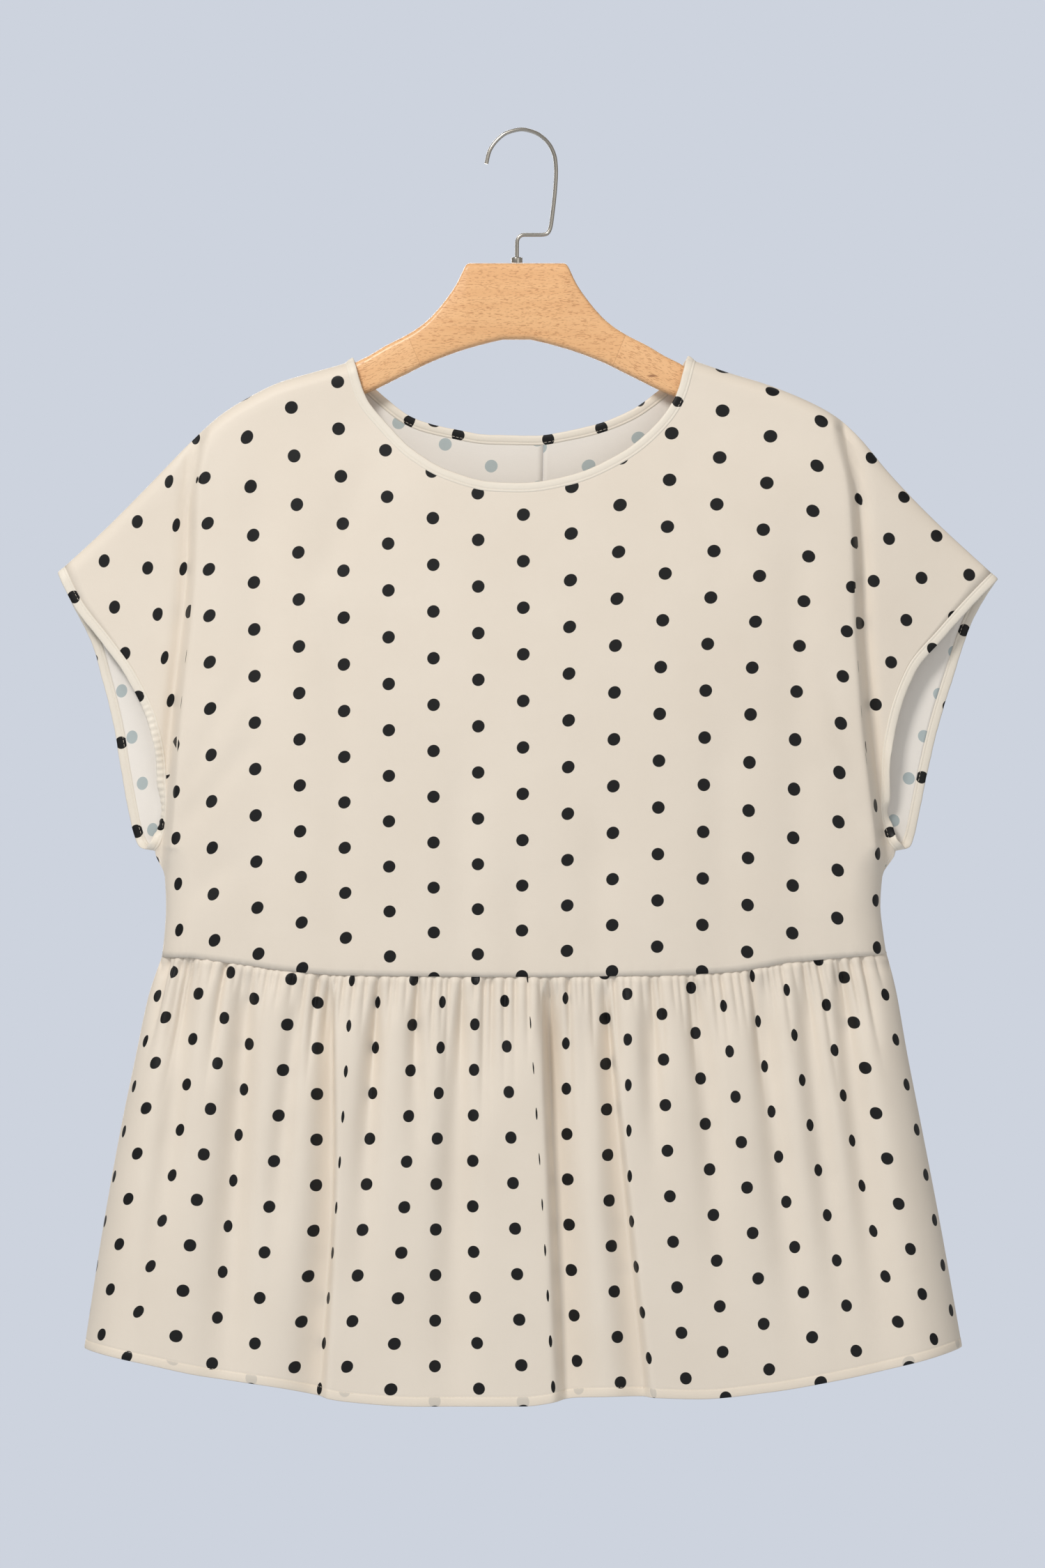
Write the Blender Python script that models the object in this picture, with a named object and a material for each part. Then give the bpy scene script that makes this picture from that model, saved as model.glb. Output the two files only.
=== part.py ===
"""Babydoll blouse on a wooden hanger: the cut cloth as thin walls, and the hanger that holds it.

The frame is metres with +Z up. The blouse faces -Y and +X is the viewer's right.
The origin lies inside the crown of the hook, where the wire rests on a rail or a nail.
All sizes and tables below are in millimetres, and MM turns them into metres.
"""
from math import cos, exp, pi, radians, sin, sqrt

import bmesh
import bpy
from mathutils import Vector

MM = 0.001
CLOTH = 1.2                 # wall of the cloth
GAP = 0.3                   # between two pieces at a seam
FRONT, BACK = -1, 1         # sign of Y on the two faces of the blouse

BINDING_WIDTH = 6.3         # visible width of the neck and armhole bindings
BINDING_RISE = 0.35         # how far a binding stands above the cloth on each face

SEAM_FLAT_HALF = 215.0      # half of the shoulder that lies straight over the hanger
SLEEVE_TIP_HALF = 340.0     # middle to sleeve tip
SLEEVE_SET_BACK = 12.0      # how far behind the hanger the sleeve tips droop
SLEEVE_OUT = {FRONT: 5.0, BACK: 8.5}    # how far each layer of a sleeve stands from its seam
ARCH_RADIUS = 10.5          # cloth turning over the hanger's top edge
FOLD_WIDTH = 8.5            # the body's edge fold, from its ridge to its trough
FOLD_DIP = {FRONT: 2.5, BACK: 1.0}      # extra depth of that trough
SIDE_RADIUS = 24.0          # round of the side seams, measured across

BULGE = 0.8                 # power that shapes a body's round from its middle to its edge
SECTION_SAMPLES = 240       # steps that measure a peplum level along its curve
HEM_SIDE_REACH = 14.0       # how much wider the side's round is at the hem than at the waist

GATHERS = 76                # gathers sewn into each peplum's waist edge
GATHER_DEPTH = 0.85         # half of a gather's height at the seam
GATHER_DRIFT = 0.22         # how unevenly the gathers are spaced, in half gathers
FOLD_MIDDLE_SHARE = 0.42    # share of the length where a large fold passes its middle place
PEPLUM_FINE_ROWS = (0.0, 0.035, 0.08)
PEPLUM_ROWS = (0.15, 0.27, 0.42, 0.6, 0.8, 1.0)

ARCH_STEPS = 4              # rows over the hanger's top edge
NECK_SHARES = (0.0, 0.005, 0.018, 0.039, 0.065, 0.13, 0.23, 0.36, 0.5, 0.66, 0.83, 1.0)
# Heights of the rows below the arch where they reach the armhole and the side seam.
SIDE_ROWS = (-336, -353, -372, -392, -414, -438, -463, -485, -501, -511, -516.5, -538, -565, -592)
UNDERARM_Z = -516.5
UNDERARM_ROW = ARCH_STEPS + 1 + SIDE_ROWS.index(UNDERARM_Z)
# Tops of the columns that run down beside the body's edge fold, and how many lie between them.
TROUGH_TOP, RIDGE_TOP, SHOULDER_TOP = 232.5, 224.0, 212.0
SLEEVE_COLUMNS, FOLD_COLUMNS_OVER, RIDGE_COLUMNS, SHOULDER_COLUMNS = 3, 2, 2, 3
NECK_FOOT = 190             # foot of the columns that start at the neck points
RIDGE_FOOT, SHOULDER_FOOT = 252, 238    # feet of the ridge and shoulder columns
SHOULDER_LEVEL = 0.55       # how nearly the shoulder column's rows are level with the side rows
TIP_SLANT = 0.89            # height lost along the slanted sleeve edge, of each step down it
BACK_SEAM_FOOT = 9          # foot of the centre-back seam
NECK_COLUMN = SLEEVE_COLUMNS + FOLD_COLUMNS_OVER + RIDGE_COLUMNS + SHOULDER_COLUMNS

HANGER_X = -4.75            # the hanger's own middle
HANGER_HALF_THICK = 6.0
HANGER_CORNER = 5.0
WIRE_RADIUS = 1.4
WIRE_STEPS = 40
HOOK_CROWN_Z = WIRE_RADIUS
SHANK_X = -4.5
FERRULE_RADIUS = 4.0
FERRULE_TOP_Z = -90.75
FERRULE_HEIGHT = 3.7


def between(keys, values, key):
    """Reads a smooth curve through the rows, which never swings past a row's value."""
    if key <= keys[0]:
        return values[0]
    if key >= keys[-1]:
        return values[-1]
    steps = [b - a for a, b in zip(keys, keys[1:])]
    rises = [(b - a) / step for a, b, step in zip(values, values[1:], steps)]
    slopes = [rises[0]]
    for before, after in zip(rises, rises[1:]):
        slopes.append(0.0 if before * after <= 0 else 2 * before * after / (before + after))
    slopes.append(rises[-1])
    i = next(n for n in range(len(steps)) if key <= keys[n + 1])
    t = (key - keys[i]) / steps[i]
    return (values[i] * (1 + 2 * t) * (1 - t) ** 2 + steps[i] * slopes[i] * t * (1 - t) ** 2
            + values[i + 1] * t * t * (3 - 2 * t) + steps[i] * slopes[i + 1] * t * t * (t - 1))


class Table:
    """Rows under named columns. The first column is the one that is looked up."""

    def __init__(self, names, *rows):
        self.names = names.split()
        self.rows = sorted(rows)
        self.keys = [row[0] for row in self.rows]

    def at(self, name, key):
        column = self.names.index(name)
        return between(self.keys, [row[column] for row in self.rows], key)


class Edge:
    """A line through (x, z) rows, read by its share from 0 at the first to 1 at the last."""

    def __init__(self, rows):
        self.rows = rows
        runs = [0.0]
        for (x0, z0), (x1, z1) in zip(rows, rows[1:]):
            runs.append(runs[-1] + sqrt((x1 - x0) ** 2 + (z1 - z0) ** 2))
        self.keys = [run / runs[-1] for run in runs]

    def at(self, share):
        return tuple(between(self.keys, [row[n] for row in self.rows], share) for n in (0, 1))


# Top line of the shoulders and sleeves. The innermost rows run on inside the neck opening.
SHOULDER_LEFT = Table("x z", (-100, -155.5), (-121, -163.6), (-127.5, -166.2), (-150.5, -172.8),
                      (-175.5, -180.3), (-200.5, -192.8), (-217.5, -203.8), (-238.5, -222.8),
                      (-269.5, -254.3), (-300, -284.5), (-330, -312))
SHOULDER_RIGHT = Table("x z", (96, -156), (123.5, -164.9), (150, -174), (174, -181.3), (208, -195.3),
                       (224.5, -204.8), (239.5, -217.8), (263, -245.3), (292, -275.3), (336.8, -316.5))

# Edges of the cloth inside the bindings: left neck point, round the opening, right neck point.
NECK_FRONT = [(-127.5, -166.2), (-118, -195.3), (-107.5, -208.8), (-82.5, -234.3), (-53.5, -250.8),
              (-21, -258.8), (-0.5, -259.3), (34.5, -253.8), (67, -240.3), (93.5, -221.3),
              (114.5, -194.3), (123.5, -164.9)]
NECK_BACK_LEFT = [(-127.5, -166.2), (-120, -179), (-109, -190.5), (-79.5, -212), (-52, -219.2),
                  (-26, -223.5), (14.5, -224.3)]
NECK_BACK_RIGHT = [(123.5, -164.9), (115, -178), (102, -190), (78.5, -206.3), (52, -216.5), (14.5, -224.3)]

# Side edges of the cloth: the armhole's two edges, which meet at the underarm, then the side seam.
SIDE_LEFT = Table("z front back", (-312, -330, -330), (-337, -317.5, -318.5), (-365, -296, -304.5),
                  (-389, -279, -297.5), (-425, -262.5, -288.5), (-455, -257, -283.5), (-483, -256.5, -278.5),
                  (-501, -258.3, -274.5), (-511, -260.8, -270.3), (-516.5, -264.5, -264.5),
                  (-534, -257.5, -257.5), (-556, -256.5, -256.5),
                  (-575, -257.5, -257.5), (-592, -259.5, -259.5))
SIDE_RIGHT = Table("z front back", (-316.5, 336.8, 336.8), (-337, 317, 323.5), (-356, 300, 314.5),
                   (-385, 276, 305), (-424, 262, 293), (-455, 257.3, 285.5), (-484, 257, 279.5),
                   (-501, 259.5, 276), (-511, 263, 272.5), (-516.5, 267.5, 267.5), (-534, 258, 258),
                   (-556, 256.5, 256.5), (-575, 258.5, 258.5), (-592, 261, 261))
# How far the side seams' round reaches out above the underarm, where the sleeves part the two faces.
ROUND_OUT = Table("z left right", (-480, 400, 400), (-501, 310, 312), (-511, 283, 285),
                  (-516.5, 264.5, 267.5), (-534, 257.5, 258), (-556, 256.5, 256.5),
                  (-575, 257.5, 258.5), (-592, 259.5, 261))
WAIST = Table("x z", (-260, -592.2), (-225, -592.8), (-176, -601), (-125, -604.8), (0, -605.7),
              (95, -604.8), (145, -602.7), (200, -594.4), (261, -590.2))

# The fold where the body stands forward of the sleeves, by height.
BODY_FOLD = Table("z left right", (-556, -262, 262), (-528, -253.5, 254), (-495, -249.8, 250),
                  (-462, -247.5, 246), (-428, -245, 242), (-389, -241, 239), (-354, -237, 236.5),
                  (-312, -233.5, 235.5), (-255, -232, 232), (-215, -224, 222))
BODY_DEPTH = Table("z front_edge front_middle back_edge back_middle", (-592, 14, 34, 13, 21.5),
                   (-540, 16, 33, 13, 21), (-450, 17, 30, 13, 19.5), (-350, 14.5, 25, 12, 17),
                   (-260, 12, 18, 11.5, 14), (-205, 10.5, 12, 10.5, 12), (-165, 10.5, 10.5, 10.5, 10.5))

# Soft upright creases of the bodice: middle, half width, depth, top and foot.
CREASE_COLUMNS = ("face", "x", "half_width", "depth", "top_z", "foot_z")
CREASES = [(FRONT, -190, 16, 1.6, -215, -420), (FRONT, -133, 14, 1.2, -330, -560),
           (FRONT, -45, 13, 1.6, -430, -600), (FRONT, -4, 10, 1.3, -500, -600),
           (FRONT, 52, 13, 1.6, -470, -600), (FRONT, 142, 15, 1.5, -400, -600),
           (FRONT, 196, 15, 1.8, -260, -560), (BACK, -150, 18, 2.0, -240, -560),
           (BACK, -70, 16, 1.6, -330, -600), (BACK, 40, 14, 1.4, -400, -600),
           (BACK, 120, 18, 2.0, -260, -580)]

# The peplum by share of its length: side outlines and how far each face stands out.
PEPLUM = Table("share left right front_edge front_middle back_edge back_middle",
               (0, -259.5, 261, 14, 34, 13, 21.5), (0.1, -269, 268, 17, 37, 15, 24),
               (0.25, -278, 275.5, 21, 40, 18, 26), (0.45, -289.5, 286.5, 25, 42, 21, 28),
               (0.7, -302, 300, 29, 44, 24, 30), (1, -315, 315, 32, 46, 26, 32))
HEM = Table("x z", (-315, -872.5), (-270, -881.5), (-225, -890.8), (-175, -897.8), (-125, -907.8),
            (-75, -911), (0, -910.8), (40, -905.5), (70, -904.3), (125, -905.8), (174, -901.3),
            (224, -893), (275, -881.8), (315, -871.5))

# Large folds of the peplum, as troughs: place at seam, middle and hem, then depth and half widths.
FOLD_COLUMNS = ("face", "seam_x", "middle_x", "hem_x", "depth", "seam_half", "hem_half", "reach")
FOLDS = [(FRONT, -236, -252, -270, 5.0, 7, 15, 0.9), (FRONT, -198, -205, -214, 8.0, 8, 17, 1.2),
         (FRONT, -160, -172, -186, 4.5, 6, 13, 0.8), (FRONT, -133, -131, -140, 7.0, 5, 9, 1.6),
         (FRONT, -103, -112, -118, 5.0, 6, 14, 0.8), (FRONT, -76, -76, -78, 3.5, 6, 12, 0.5),
         (FRONT, -42, -48, -50, 5.5, 7, 17, 1.1), (FRONT, 11, 14, 20, 12.0, 7, 15, 1.6),
         (FRONT, 41, 44, 48, 3.5, 6, 12, 0.5), (FRONT, 63, 74, 90, 6.5, 6, 9, 1.6),
         (FRONT, 86, 90, 100, 4.5, 6, 12, 0.5), (FRONT, 124, 134, 146, 4.5, 7, 16, 0.8),
         (FRONT, 170, 181, 198, 5.5, 7, 16, 1.0), (FRONT, 198, 213, 232, 5.5, 7, 15, 1.0),
         (FRONT, 224, 240, 258, 6.5, 7, 16, 1.1),
         (BACK, -232, -247, -266, 5.5, 8, 17, 1.2), (BACK, -190, -200, -214, 6.5, 8, 18, 1.1),
         (BACK, -146, -153, -160, 5.0, 7, 15, 0.9), (BACK, -102, -108, -118, 8.0, 7, 16, 1.4),
         (BACK, -62, -64, -68, 4.0, 6, 12, 0.6), (BACK, -20, -22, -28, 7.0, 7, 18, 1.2),
         (BACK, 26, 26, 28, 5.0, 7, 13, 0.8), (BACK, 64, 70, 78, 9.0, 7, 16, 1.5),
         (BACK, 112, 118, 126, 4.5, 7, 14, 0.7), (BACK, 152, 162, 176, 7.0, 8, 18, 1.2),
         (BACK, 200, 212, 228, 5.5, 7, 16, 1.0), (BACK, 236, 250, 268, 4.5, 7, 15, 0.9)]

# Outline of the hanger by distance from its middle, and the wire's route above it.
HANGER_TOP = Table("out z", (0, -94.75), (36.5, -94.75), (39.2, -100.9), (43, -109.5), (50.7, -120.8),
                   (61, -133), (69.8, -140.5), (78.5, -146), (95, -154.5), (106, -161.2),
                   (117.2, -166.7), (119.5, -168.3), (123, -169.3), (146, -175.4), (171, -183.2),
                   (196, -195.5), (206, -201.5), (213, -207.5), (218, -214), (221, -222))
HANGER_FOOT = Table("out z", (0, -149.5), (10, -150), (32, -155), (58.3, -164.2), (83.3, -176.3),
                    (108.3, -188.3), (146, -201.5), (171, -209.5), (196, -221.5), (210, -228.5),
                    (218, -230.5), (221, -226))
HANGER_STATIONS = (0, 18, 34, 36.5, 39.2, 43, 50.7, 61, 69.8, 78.5, 87, 95, 106, 117.2, 119.5, 123, 134, 146,
                   158, 171, 184, 196, 206, 213, 218, 221)
HOOK_ROUTE = [(-26.5, -23.3), (-24.3, -14.5), (-19, -6.6), (-11.3, -0.9), (-1, HOOK_CROWN_Z), (7.6, -0.5),
              (15, -5.2), (20.3, -12), (23, -20.2), (23.6, -29), (22.9, -42), (21.3, -57), (19.4, -69.6),
              (16.8, -73.6), (12.5, -74.3), (0.2, -74.3), (-3.2, -76), (-4.4, -79.6), (SHANK_X, -90.45)]


def smooth(value, low, high):
    """Runs softly from 0 at low to 1 at high."""
    t = min(max((value - low) / (high - low), 0.0), 1.0)
    return t * t * (3 - 2 * t)


def quarter_round(distance, radius):
    """Height of a quarter circle, from 0 at its start to 1 at its radius."""
    return sqrt(max(1 - (1 - min(max(distance / radius, 0.0), 1.0)) ** 2, 0.0))


def shoulder_z(x):
    return (SHOULDER_LEFT if x < 0 else SHOULDER_RIGHT).at("z", x)


def seam_y(x):
    """Depth of the shoulder and side seams, which fall back past the hanger's ends."""
    return SLEEVE_SET_BACK * smooth(abs(x), SEAM_FLAT_HALF, SLEEVE_TIP_HALF)


def crease_y(x, z, face):
    """Soft troughs, pressed in towards the middle of the blouse."""
    depth = 0.0
    for row in CREASES:
        crease = dict(zip(CREASE_COLUMNS, row))
        if crease["face"] == face:
            length = smooth(z, crease["top_z"], crease["top_z"] - 60)
            length *= 1 - 0.4 * smooth(z, crease["foot_z"] + 60, crease["foot_z"])
            depth += crease["depth"] * length * exp(-((x - crease["x"]) / crease["half_width"]) ** 2)
    return -face * depth


def bodice_y(x, z, face):
    """Depth of the bodice's outer skin, seen as a height over the photograph's plane."""
    side = "left" if x < 0 else "right"
    name = "front" if face == FRONT else "back"
    ridge = abs(BODY_FOLD.at(side, z))
    across = min(abs(x) / ridge, 1.0)
    edge = BODY_DEPTH.at(name + "_edge", z)
    middle = BODY_DEPTH.at(name + "_middle", z)
    body = face * (edge + (middle - edge) * (1 - across * across) ** BULGE) + crease_y(x, z, face)
    past = abs(x) - ridge
    sleeve = seam_y(x) + face * SLEEVE_OUT[face]
    sleeve -= face * FOLD_DIP[face] * exp(-((past - FOLD_WIDTH) / 5.0) ** 2)
    flat = body + (sleeve - body) * smooth(past, -1.0, FOLD_WIDTH)
    slope = (shoulder_z(x + 1) - shoulder_z(x - 1)) / 2
    below = (shoulder_z(x) - z) / sqrt(1 + slope * slope)
    inside = ROUND_OUT.at(side, z) - abs(x)
    rounding = quarter_round(below, ARCH_RADIUS) * quarter_round(inside, SIDE_RADIUS)
    return seam_y(x) + face * GAP / 2 + (flat - seam_y(x)) * rounding


def row_distances(length):
    """Distances down a column: close together over the hanger, then even."""
    arch = [ARCH_RADIUS * (1 - cos(radians(90) * n / ARCH_STEPS)) for n in range(ARCH_STEPS + 1)]
    rest = (length - ARCH_RADIUS) / len(SIDE_ROWS)
    return arch + [ARCH_RADIUS + rest * n for n in range(1, len(SIDE_ROWS) + 1)]


def straight_column(top, foot):
    """Places (x, z) down a straight line from the top line to the waist."""
    length = sqrt((foot[0] - top[0]) ** 2 + (foot[1] - top[1]) ** 2)
    shares = [distance / length for distance in row_distances(length)]
    return [(top[0] + (foot[0] - top[0]) * share, top[1] + (foot[1] - top[1]) * share) for share in shares]


def columns_between(first, last, count):
    """The columns after the first, up to the last, evenly between them and on the shoulder line."""
    made = []
    for n in range(1, count + 1):
        share = n / count
        column = [(a[0] + (b[0] - a[0]) * share, a[1] + (b[1] - a[1]) * share) for a, b in zip(first, last)]
        if share < 1:
            lift = shoulder_z(column[0][0]) - column[0][1]
            column = [(x, z + lift * (row <= ARCH_STEPS)) for row, (x, z) in enumerate(column)]
        made.append(column)
    return made


def outer_columns(side, face, foot_x):
    """Columns of one sleeve and shoulder, from the armhole and side seam in to the neck point."""
    sign, edges = (-1, SIDE_LEFT) if side == "left" else (1, SIDE_RIGHT)
    name = "front" if face == FRONT else "back"
    tip_z = edges.keys[-1]
    heights = [tip_z - TIP_SLANT * step for step in row_distances(400)[:ARCH_STEPS + 1]]
    armhole = [(edges.at(name, z), z) for z in heights + list(SIDE_ROWS)]
    armhole[0] = (armhole[0][0], shoulder_z(armhole[0][0]))
    waist_side = edges.at(name, -592)
    armhole[-1] = (waist_side, WAIST.at("z", waist_side))

    def levelled(top_x, foot_x, level):
        """A straight column whose rows sink towards the side rows' heights, level 1 the whole way."""
        line = straight_column((sign * top_x, shoulder_z(sign * top_x)), (foot_x, WAIST.at("z", foot_x)))
        places = line[:ARCH_STEPS + 1]
        for n, ((x, z), side_z) in enumerate(zip(line[ARCH_STEPS + 1:-1], SIDE_ROWS)):
            lower = z + (side_z - z) * level * min(0.3 * (n + 1), 1.0)
            run = (lower - places[0][1]) / (line[-1][1] - places[0][1])
            places.append((places[0][0] + (foot_x - places[0][0]) * run, lower))
        return places + [line[-1]]

    def fold_line(top_x, out):
        """A column along the body's edge fold, a stretch out from its ridge."""
        places = []
        for row, (x, z) in enumerate(levelled(top_x, sign * RIDGE_FOOT, 1.0)):
            edge = abs(edges.at(name, z)) if z < tip_z else 400
            ridge = min(abs(BODY_FOLD.at(side, z)), edge - 5)
            across = ridge + min(out, 0.55 * (edge - ridge))
            places.append((sign * (top_x if row <= ARCH_STEPS else across), z))
        foot = places[-1][0]
        places[-1] = (foot, WAIST.at("z", foot))
        return places

    trough, ridge = fold_line(TROUGH_TOP, FOLD_WIDTH), fold_line(RIDGE_TOP, 0)
    shoulder = levelled(SHOULDER_TOP, sign * SHOULDER_FOOT, SHOULDER_LEVEL)
    neck_x = NECK_FRONT[0 if sign < 0 else -1][0]
    neck = straight_column((neck_x, shoulder_z(neck_x)), (foot_x, WAIST.at("z", foot_x)))
    return ([armhole] + columns_between(armhole, trough, SLEEVE_COLUMNS)
            + columns_between(trough, ridge, FOLD_COLUMNS_OVER)
            + columns_between(ridge, shoulder, RIDGE_COLUMNS)
            + columns_between(shoulder, neck, SHOULDER_COLUMNS))


def neck_columns(neck_rows, foot_from, foot_to, shares):
    """Columns that hang from a stretch of the neckline, with their feet evenly apart."""
    neck = Edge(neck_rows)
    columns = []
    for n, share in enumerate(shares):
        foot_x = foot_from + (foot_to - foot_from) * n / (len(shares) - 1)
        columns.append(straight_column(neck.at(share), (foot_x, WAIST.at("z", foot_x))))
    return columns


def skin_normals(rows, face):
    """Outward directions at each point of a grid of rows, from its neighbours."""
    normals = []
    for r, row in enumerate(rows):
        above, below = rows[max(r - 1, 0)], rows[min(r + 1, len(rows) - 1)]
        line = []
        for c in range(len(row)):
            last = len(row) - 1
            down = below[c * (len(below) - 1) // last] - above[c * (len(above) - 1) // last]
            across = row[min(c + 1, last)] - row[max(c - 1, 0)]
            normal = across.cross(down)
            if down.length < 1e-6 or normal.length < 1e-9:
                normal = Vector((0, 1, 0))
            line.append(normal.normalized())
        normals.append(line)
    middle = normals[len(normals) // 2][len(normals[len(normals) // 2]) // 2]
    turn = 1 if middle.y * face > 0 else -1
    return [[normal * turn for normal in line] for line in normals]


def without(normal, axis):
    """The direction with one axis taken out, so that a rim lies square to that axis."""
    kept = normal.copy()
    kept[axis] = 0
    return kept.normalized()


def material(name, colour, roughness, metallic=0.0):
    made = bpy.data.materials.new(name)
    made.use_nodes = True
    shader = made.node_tree.nodes["Principled BSDF"]
    shader.inputs["Base Color"].default_value = (*colour, 1)
    shader.inputs["Roughness"].default_value = roughness
    shader.inputs["Metallic"].default_value = metallic
    return made


def place(name, mesh_maker, finish):
    """Closes a bmesh into an object, with its faces pointing out."""
    bmesh.ops.recalc_face_normals(mesh_maker, faces=mesh_maker.faces[:])
    if mesh_maker.calc_volume(signed=True) < 0:
        bmesh.ops.reverse_faces(mesh_maker, faces=mesh_maker.faces[:])
    bmesh.ops.triangulate(mesh_maker, faces=mesh_maker.faces[:], quad_method="SHORT_EDGE")
    mesh = bpy.data.meshes.new(name)
    mesh_maker.to_mesh(mesh)
    mesh_maker.free()
    mesh.shade_smooth()
    mesh.set_sharp_from_angle(angle=radians(50))
    mesh.materials.append(finish)
    thing = bpy.data.objects.new(name, mesh)
    bpy.context.collection.objects.link(thing)
    return thing


def stitch(maker, upper, lower):
    """Faces between two rows of vertices, where the lower has as many cells or half as many."""
    if len(upper) == len(lower):
        for c in range(len(upper) - 1):
            maker.faces.new((upper[c], upper[c + 1], lower[c + 1], lower[c]))
        return
    for c in range(len(lower) - 1):
        first, middle, last = upper[2 * c:2 * c + 3]
        maker.faces.new((first, middle, lower[c]))
        maker.faces.new((middle, last, lower[c + 1]))
        maker.faces.new((middle, lower[c + 1], lower[c]))


def wall(name, outer, normals, finish):
    """A closed wall of cloth from its outer skin and the directions it points out in."""
    maker = bmesh.new()
    skins = []
    for depth in (0.0, CLOTH):
        skin = [[maker.verts.new((point - normal * depth) * MM) for point, normal in zip(row, line)]
                for row, line in zip(outer, normals)]
        for upper, lower in zip(skin, skin[1:]):
            stitch(maker, upper, lower)
        skins.append(skin)
    rims = [[skin[0] for skin in skins], [skin[-1] for skin in skins],
            [[row[0] for row in skin] for skin in skins], [[row[-1] for row in skin] for skin in skins]]
    for outside, inside in rims:
        stitch(maker, outside, inside)
    return place(name, maker, finish)


def bodice_panel(name, face, left, right, neck, finish):
    """One bodice panel. left or right is empty on the side that ends at the centre-back seam.

    Returns the outer skin and its directions, which the bindings and the peplum are made from.
    """
    columns = left + neck + right[::-1]
    last = len(columns) - 1
    grid = [[Vector((x, bodice_y(x, z, face), z)) for x, z in column] for column in columns]
    rows = [list(row) for row in zip(*grid)]
    normals = skin_normals(rows, face)
    for c in range(last + 1):
        from_left = c if left else last + 1
        from_right = last - c if right else last + 1
        if min(from_left, from_right) <= NECK_COLUMN:
            normals[0][c] = without(normals[0][c], 1)
        normals[-1][c] = without(normals[-1][c], 2)
        rows[-1][c].z += GAP / 2
    for column, sewn in ((0, left), (-1, right)):
        for r, (row, line) in enumerate(zip(rows, normals)):
            if sewn and r >= UNDERARM_ROW:
                line[column] = without(line[column], 1)
            if not sewn:
                line[column] = without(line[column], 0)
                row[column].x += GAP / 2 if column == 0 else -GAP / 2
    wall(name, rows, normals, finish)
    return rows, normals


def binding(name, stations, finish):
    """A closed ring of binding. A station is an edge point, its skin's direction and its outward side."""
    section = ((GAP, BINDING_RISE), (GAP + BINDING_WIDTH - 0.5, BINDING_RISE),
               (GAP + BINDING_WIDTH, -CLOTH / 2), (GAP + BINDING_WIDTH - 0.5, -CLOTH - BINDING_RISE),
               (GAP, -CLOTH - BINDING_RISE))
    maker = bmesh.new()
    rings = [[maker.verts.new((point + away * out + normal * up) * MM) for out, up in section]
             for point, normal, away in stations]
    for ring, following in zip(rings, rings[1:] + rings[:1]):
        stitch(maker, ring + ring[:1], following + following[:1])
    return place(name, maker, finish)


def edge_stations(points, normals, inners):
    """Stations along a panel's edge. Each runs out square to the edge, away from its inner neighbour."""
    stations = []
    for n, (point, normal, inner) in enumerate(zip(points, normals, inners)):
        along = points[min(n + 1, len(points) - 1)] - points[max(n - 1, 0)]
        if n == 0:
            along = Vector((0, point.y - points[1].y, 0))
        away = normal.cross(along).normalized()
        if away.dot(point - inner) < 0:
            away = -away
        stations.append((point, normal, away))
    return stations


def join_ends(first, second):
    """One station from the two that meet across a seam."""
    return ((first[0] + second[0]) / 2, (first[1] + second[1]).normalized(),
            (first[2] + second[2]).normalized())


def armhole_stations(panel, column, inner):
    """Stations down a panel's side edge, from the sleeve tip to the underarm."""
    rows, normals = (grid[:UNDERARM_ROW + 1] for grid in panel)
    stations = edge_stations([row[column] for row in rows], [line[column] for line in normals],
                             [row[inner] for row in rows])
    sign = 1 if rows[0][column].x > 0 else -1
    lift = radians(20)
    away = Vector((sign * cos(lift), 0, sin(lift)))
    down = Vector((sign * sin(lift), 0, -cos(lift)))
    return stations[:-1] + [(stations[-1][0] + away * GAP, down, away)]


def neck_stations(panel, columns):
    """Stations along a panel's neck edge, from the neck point on."""
    rows, normals = panel
    return edge_stations([rows[0][c] for c in columns], [normals[0][c] for c in columns],
                         [rows[2][c] for c in columns])


def seam_height(line, x):
    """Height of the bodice's lower edge at one place, straight between its corners."""
    n = next((i for i in range(len(line) - 2) if x <= line[i + 1].x), len(line) - 2)
    a, b = line[n], line[n + 1]
    return a.z + (b.z - a.z) * min(max((x - a.x) / (b.x - a.x), 0.0), 1.0)


def peplum_section(share, face, places):
    """Points and outward directions of one level of a peplum, at even places along its curve."""
    name = "front" if face == FRONT else "back"
    left, right = PEPLUM.at("left", share), PEPLUM.at("right", share)
    edge, middle = PEPLUM.at(name + "_edge", share), PEPLUM.at(name + "_middle", share)
    reach = SIDE_RADIUS + HEM_SIDE_REACH * share
    half = (right - left) / 2
    seam = seam_y(260)

    def point_at(x):
        across = (x - (left + right) / 2) / half
        round_off = quarter_round(min(x - left, right - x), reach)
        depth = face * (edge + (middle - edge) * max(1 - across * across, 0) ** BULGE)
        return Vector((x, seam + face * GAP / 2 + (depth - seam) * round_off, 0))

    samples = [point_at((left + right) / 2 - half * cos(pi * n / SECTION_SAMPLES))
               for n in range(SECTION_SAMPLES + 1)]
    runs = [0.0]
    for a, b in zip(samples, samples[1:]):
        runs.append(runs[-1] + (b - a).length)
    points = []
    for at in places:
        run = at * runs[-1]
        n = next(i for i in range(SECTION_SAMPLES) if run <= runs[i + 1] + 1e-6)
        t = (run - runs[n]) / (runs[n + 1] - runs[n])
        way = (samples[min(n + 2, SECTION_SAMPLES)] - samples[max(n - 1, 0)]).normalized()
        outward = Vector((way.y, -way.x, 0)) * -face
        points.append((samples[n].lerp(samples[n + 1], t), outward))
    return points


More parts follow.
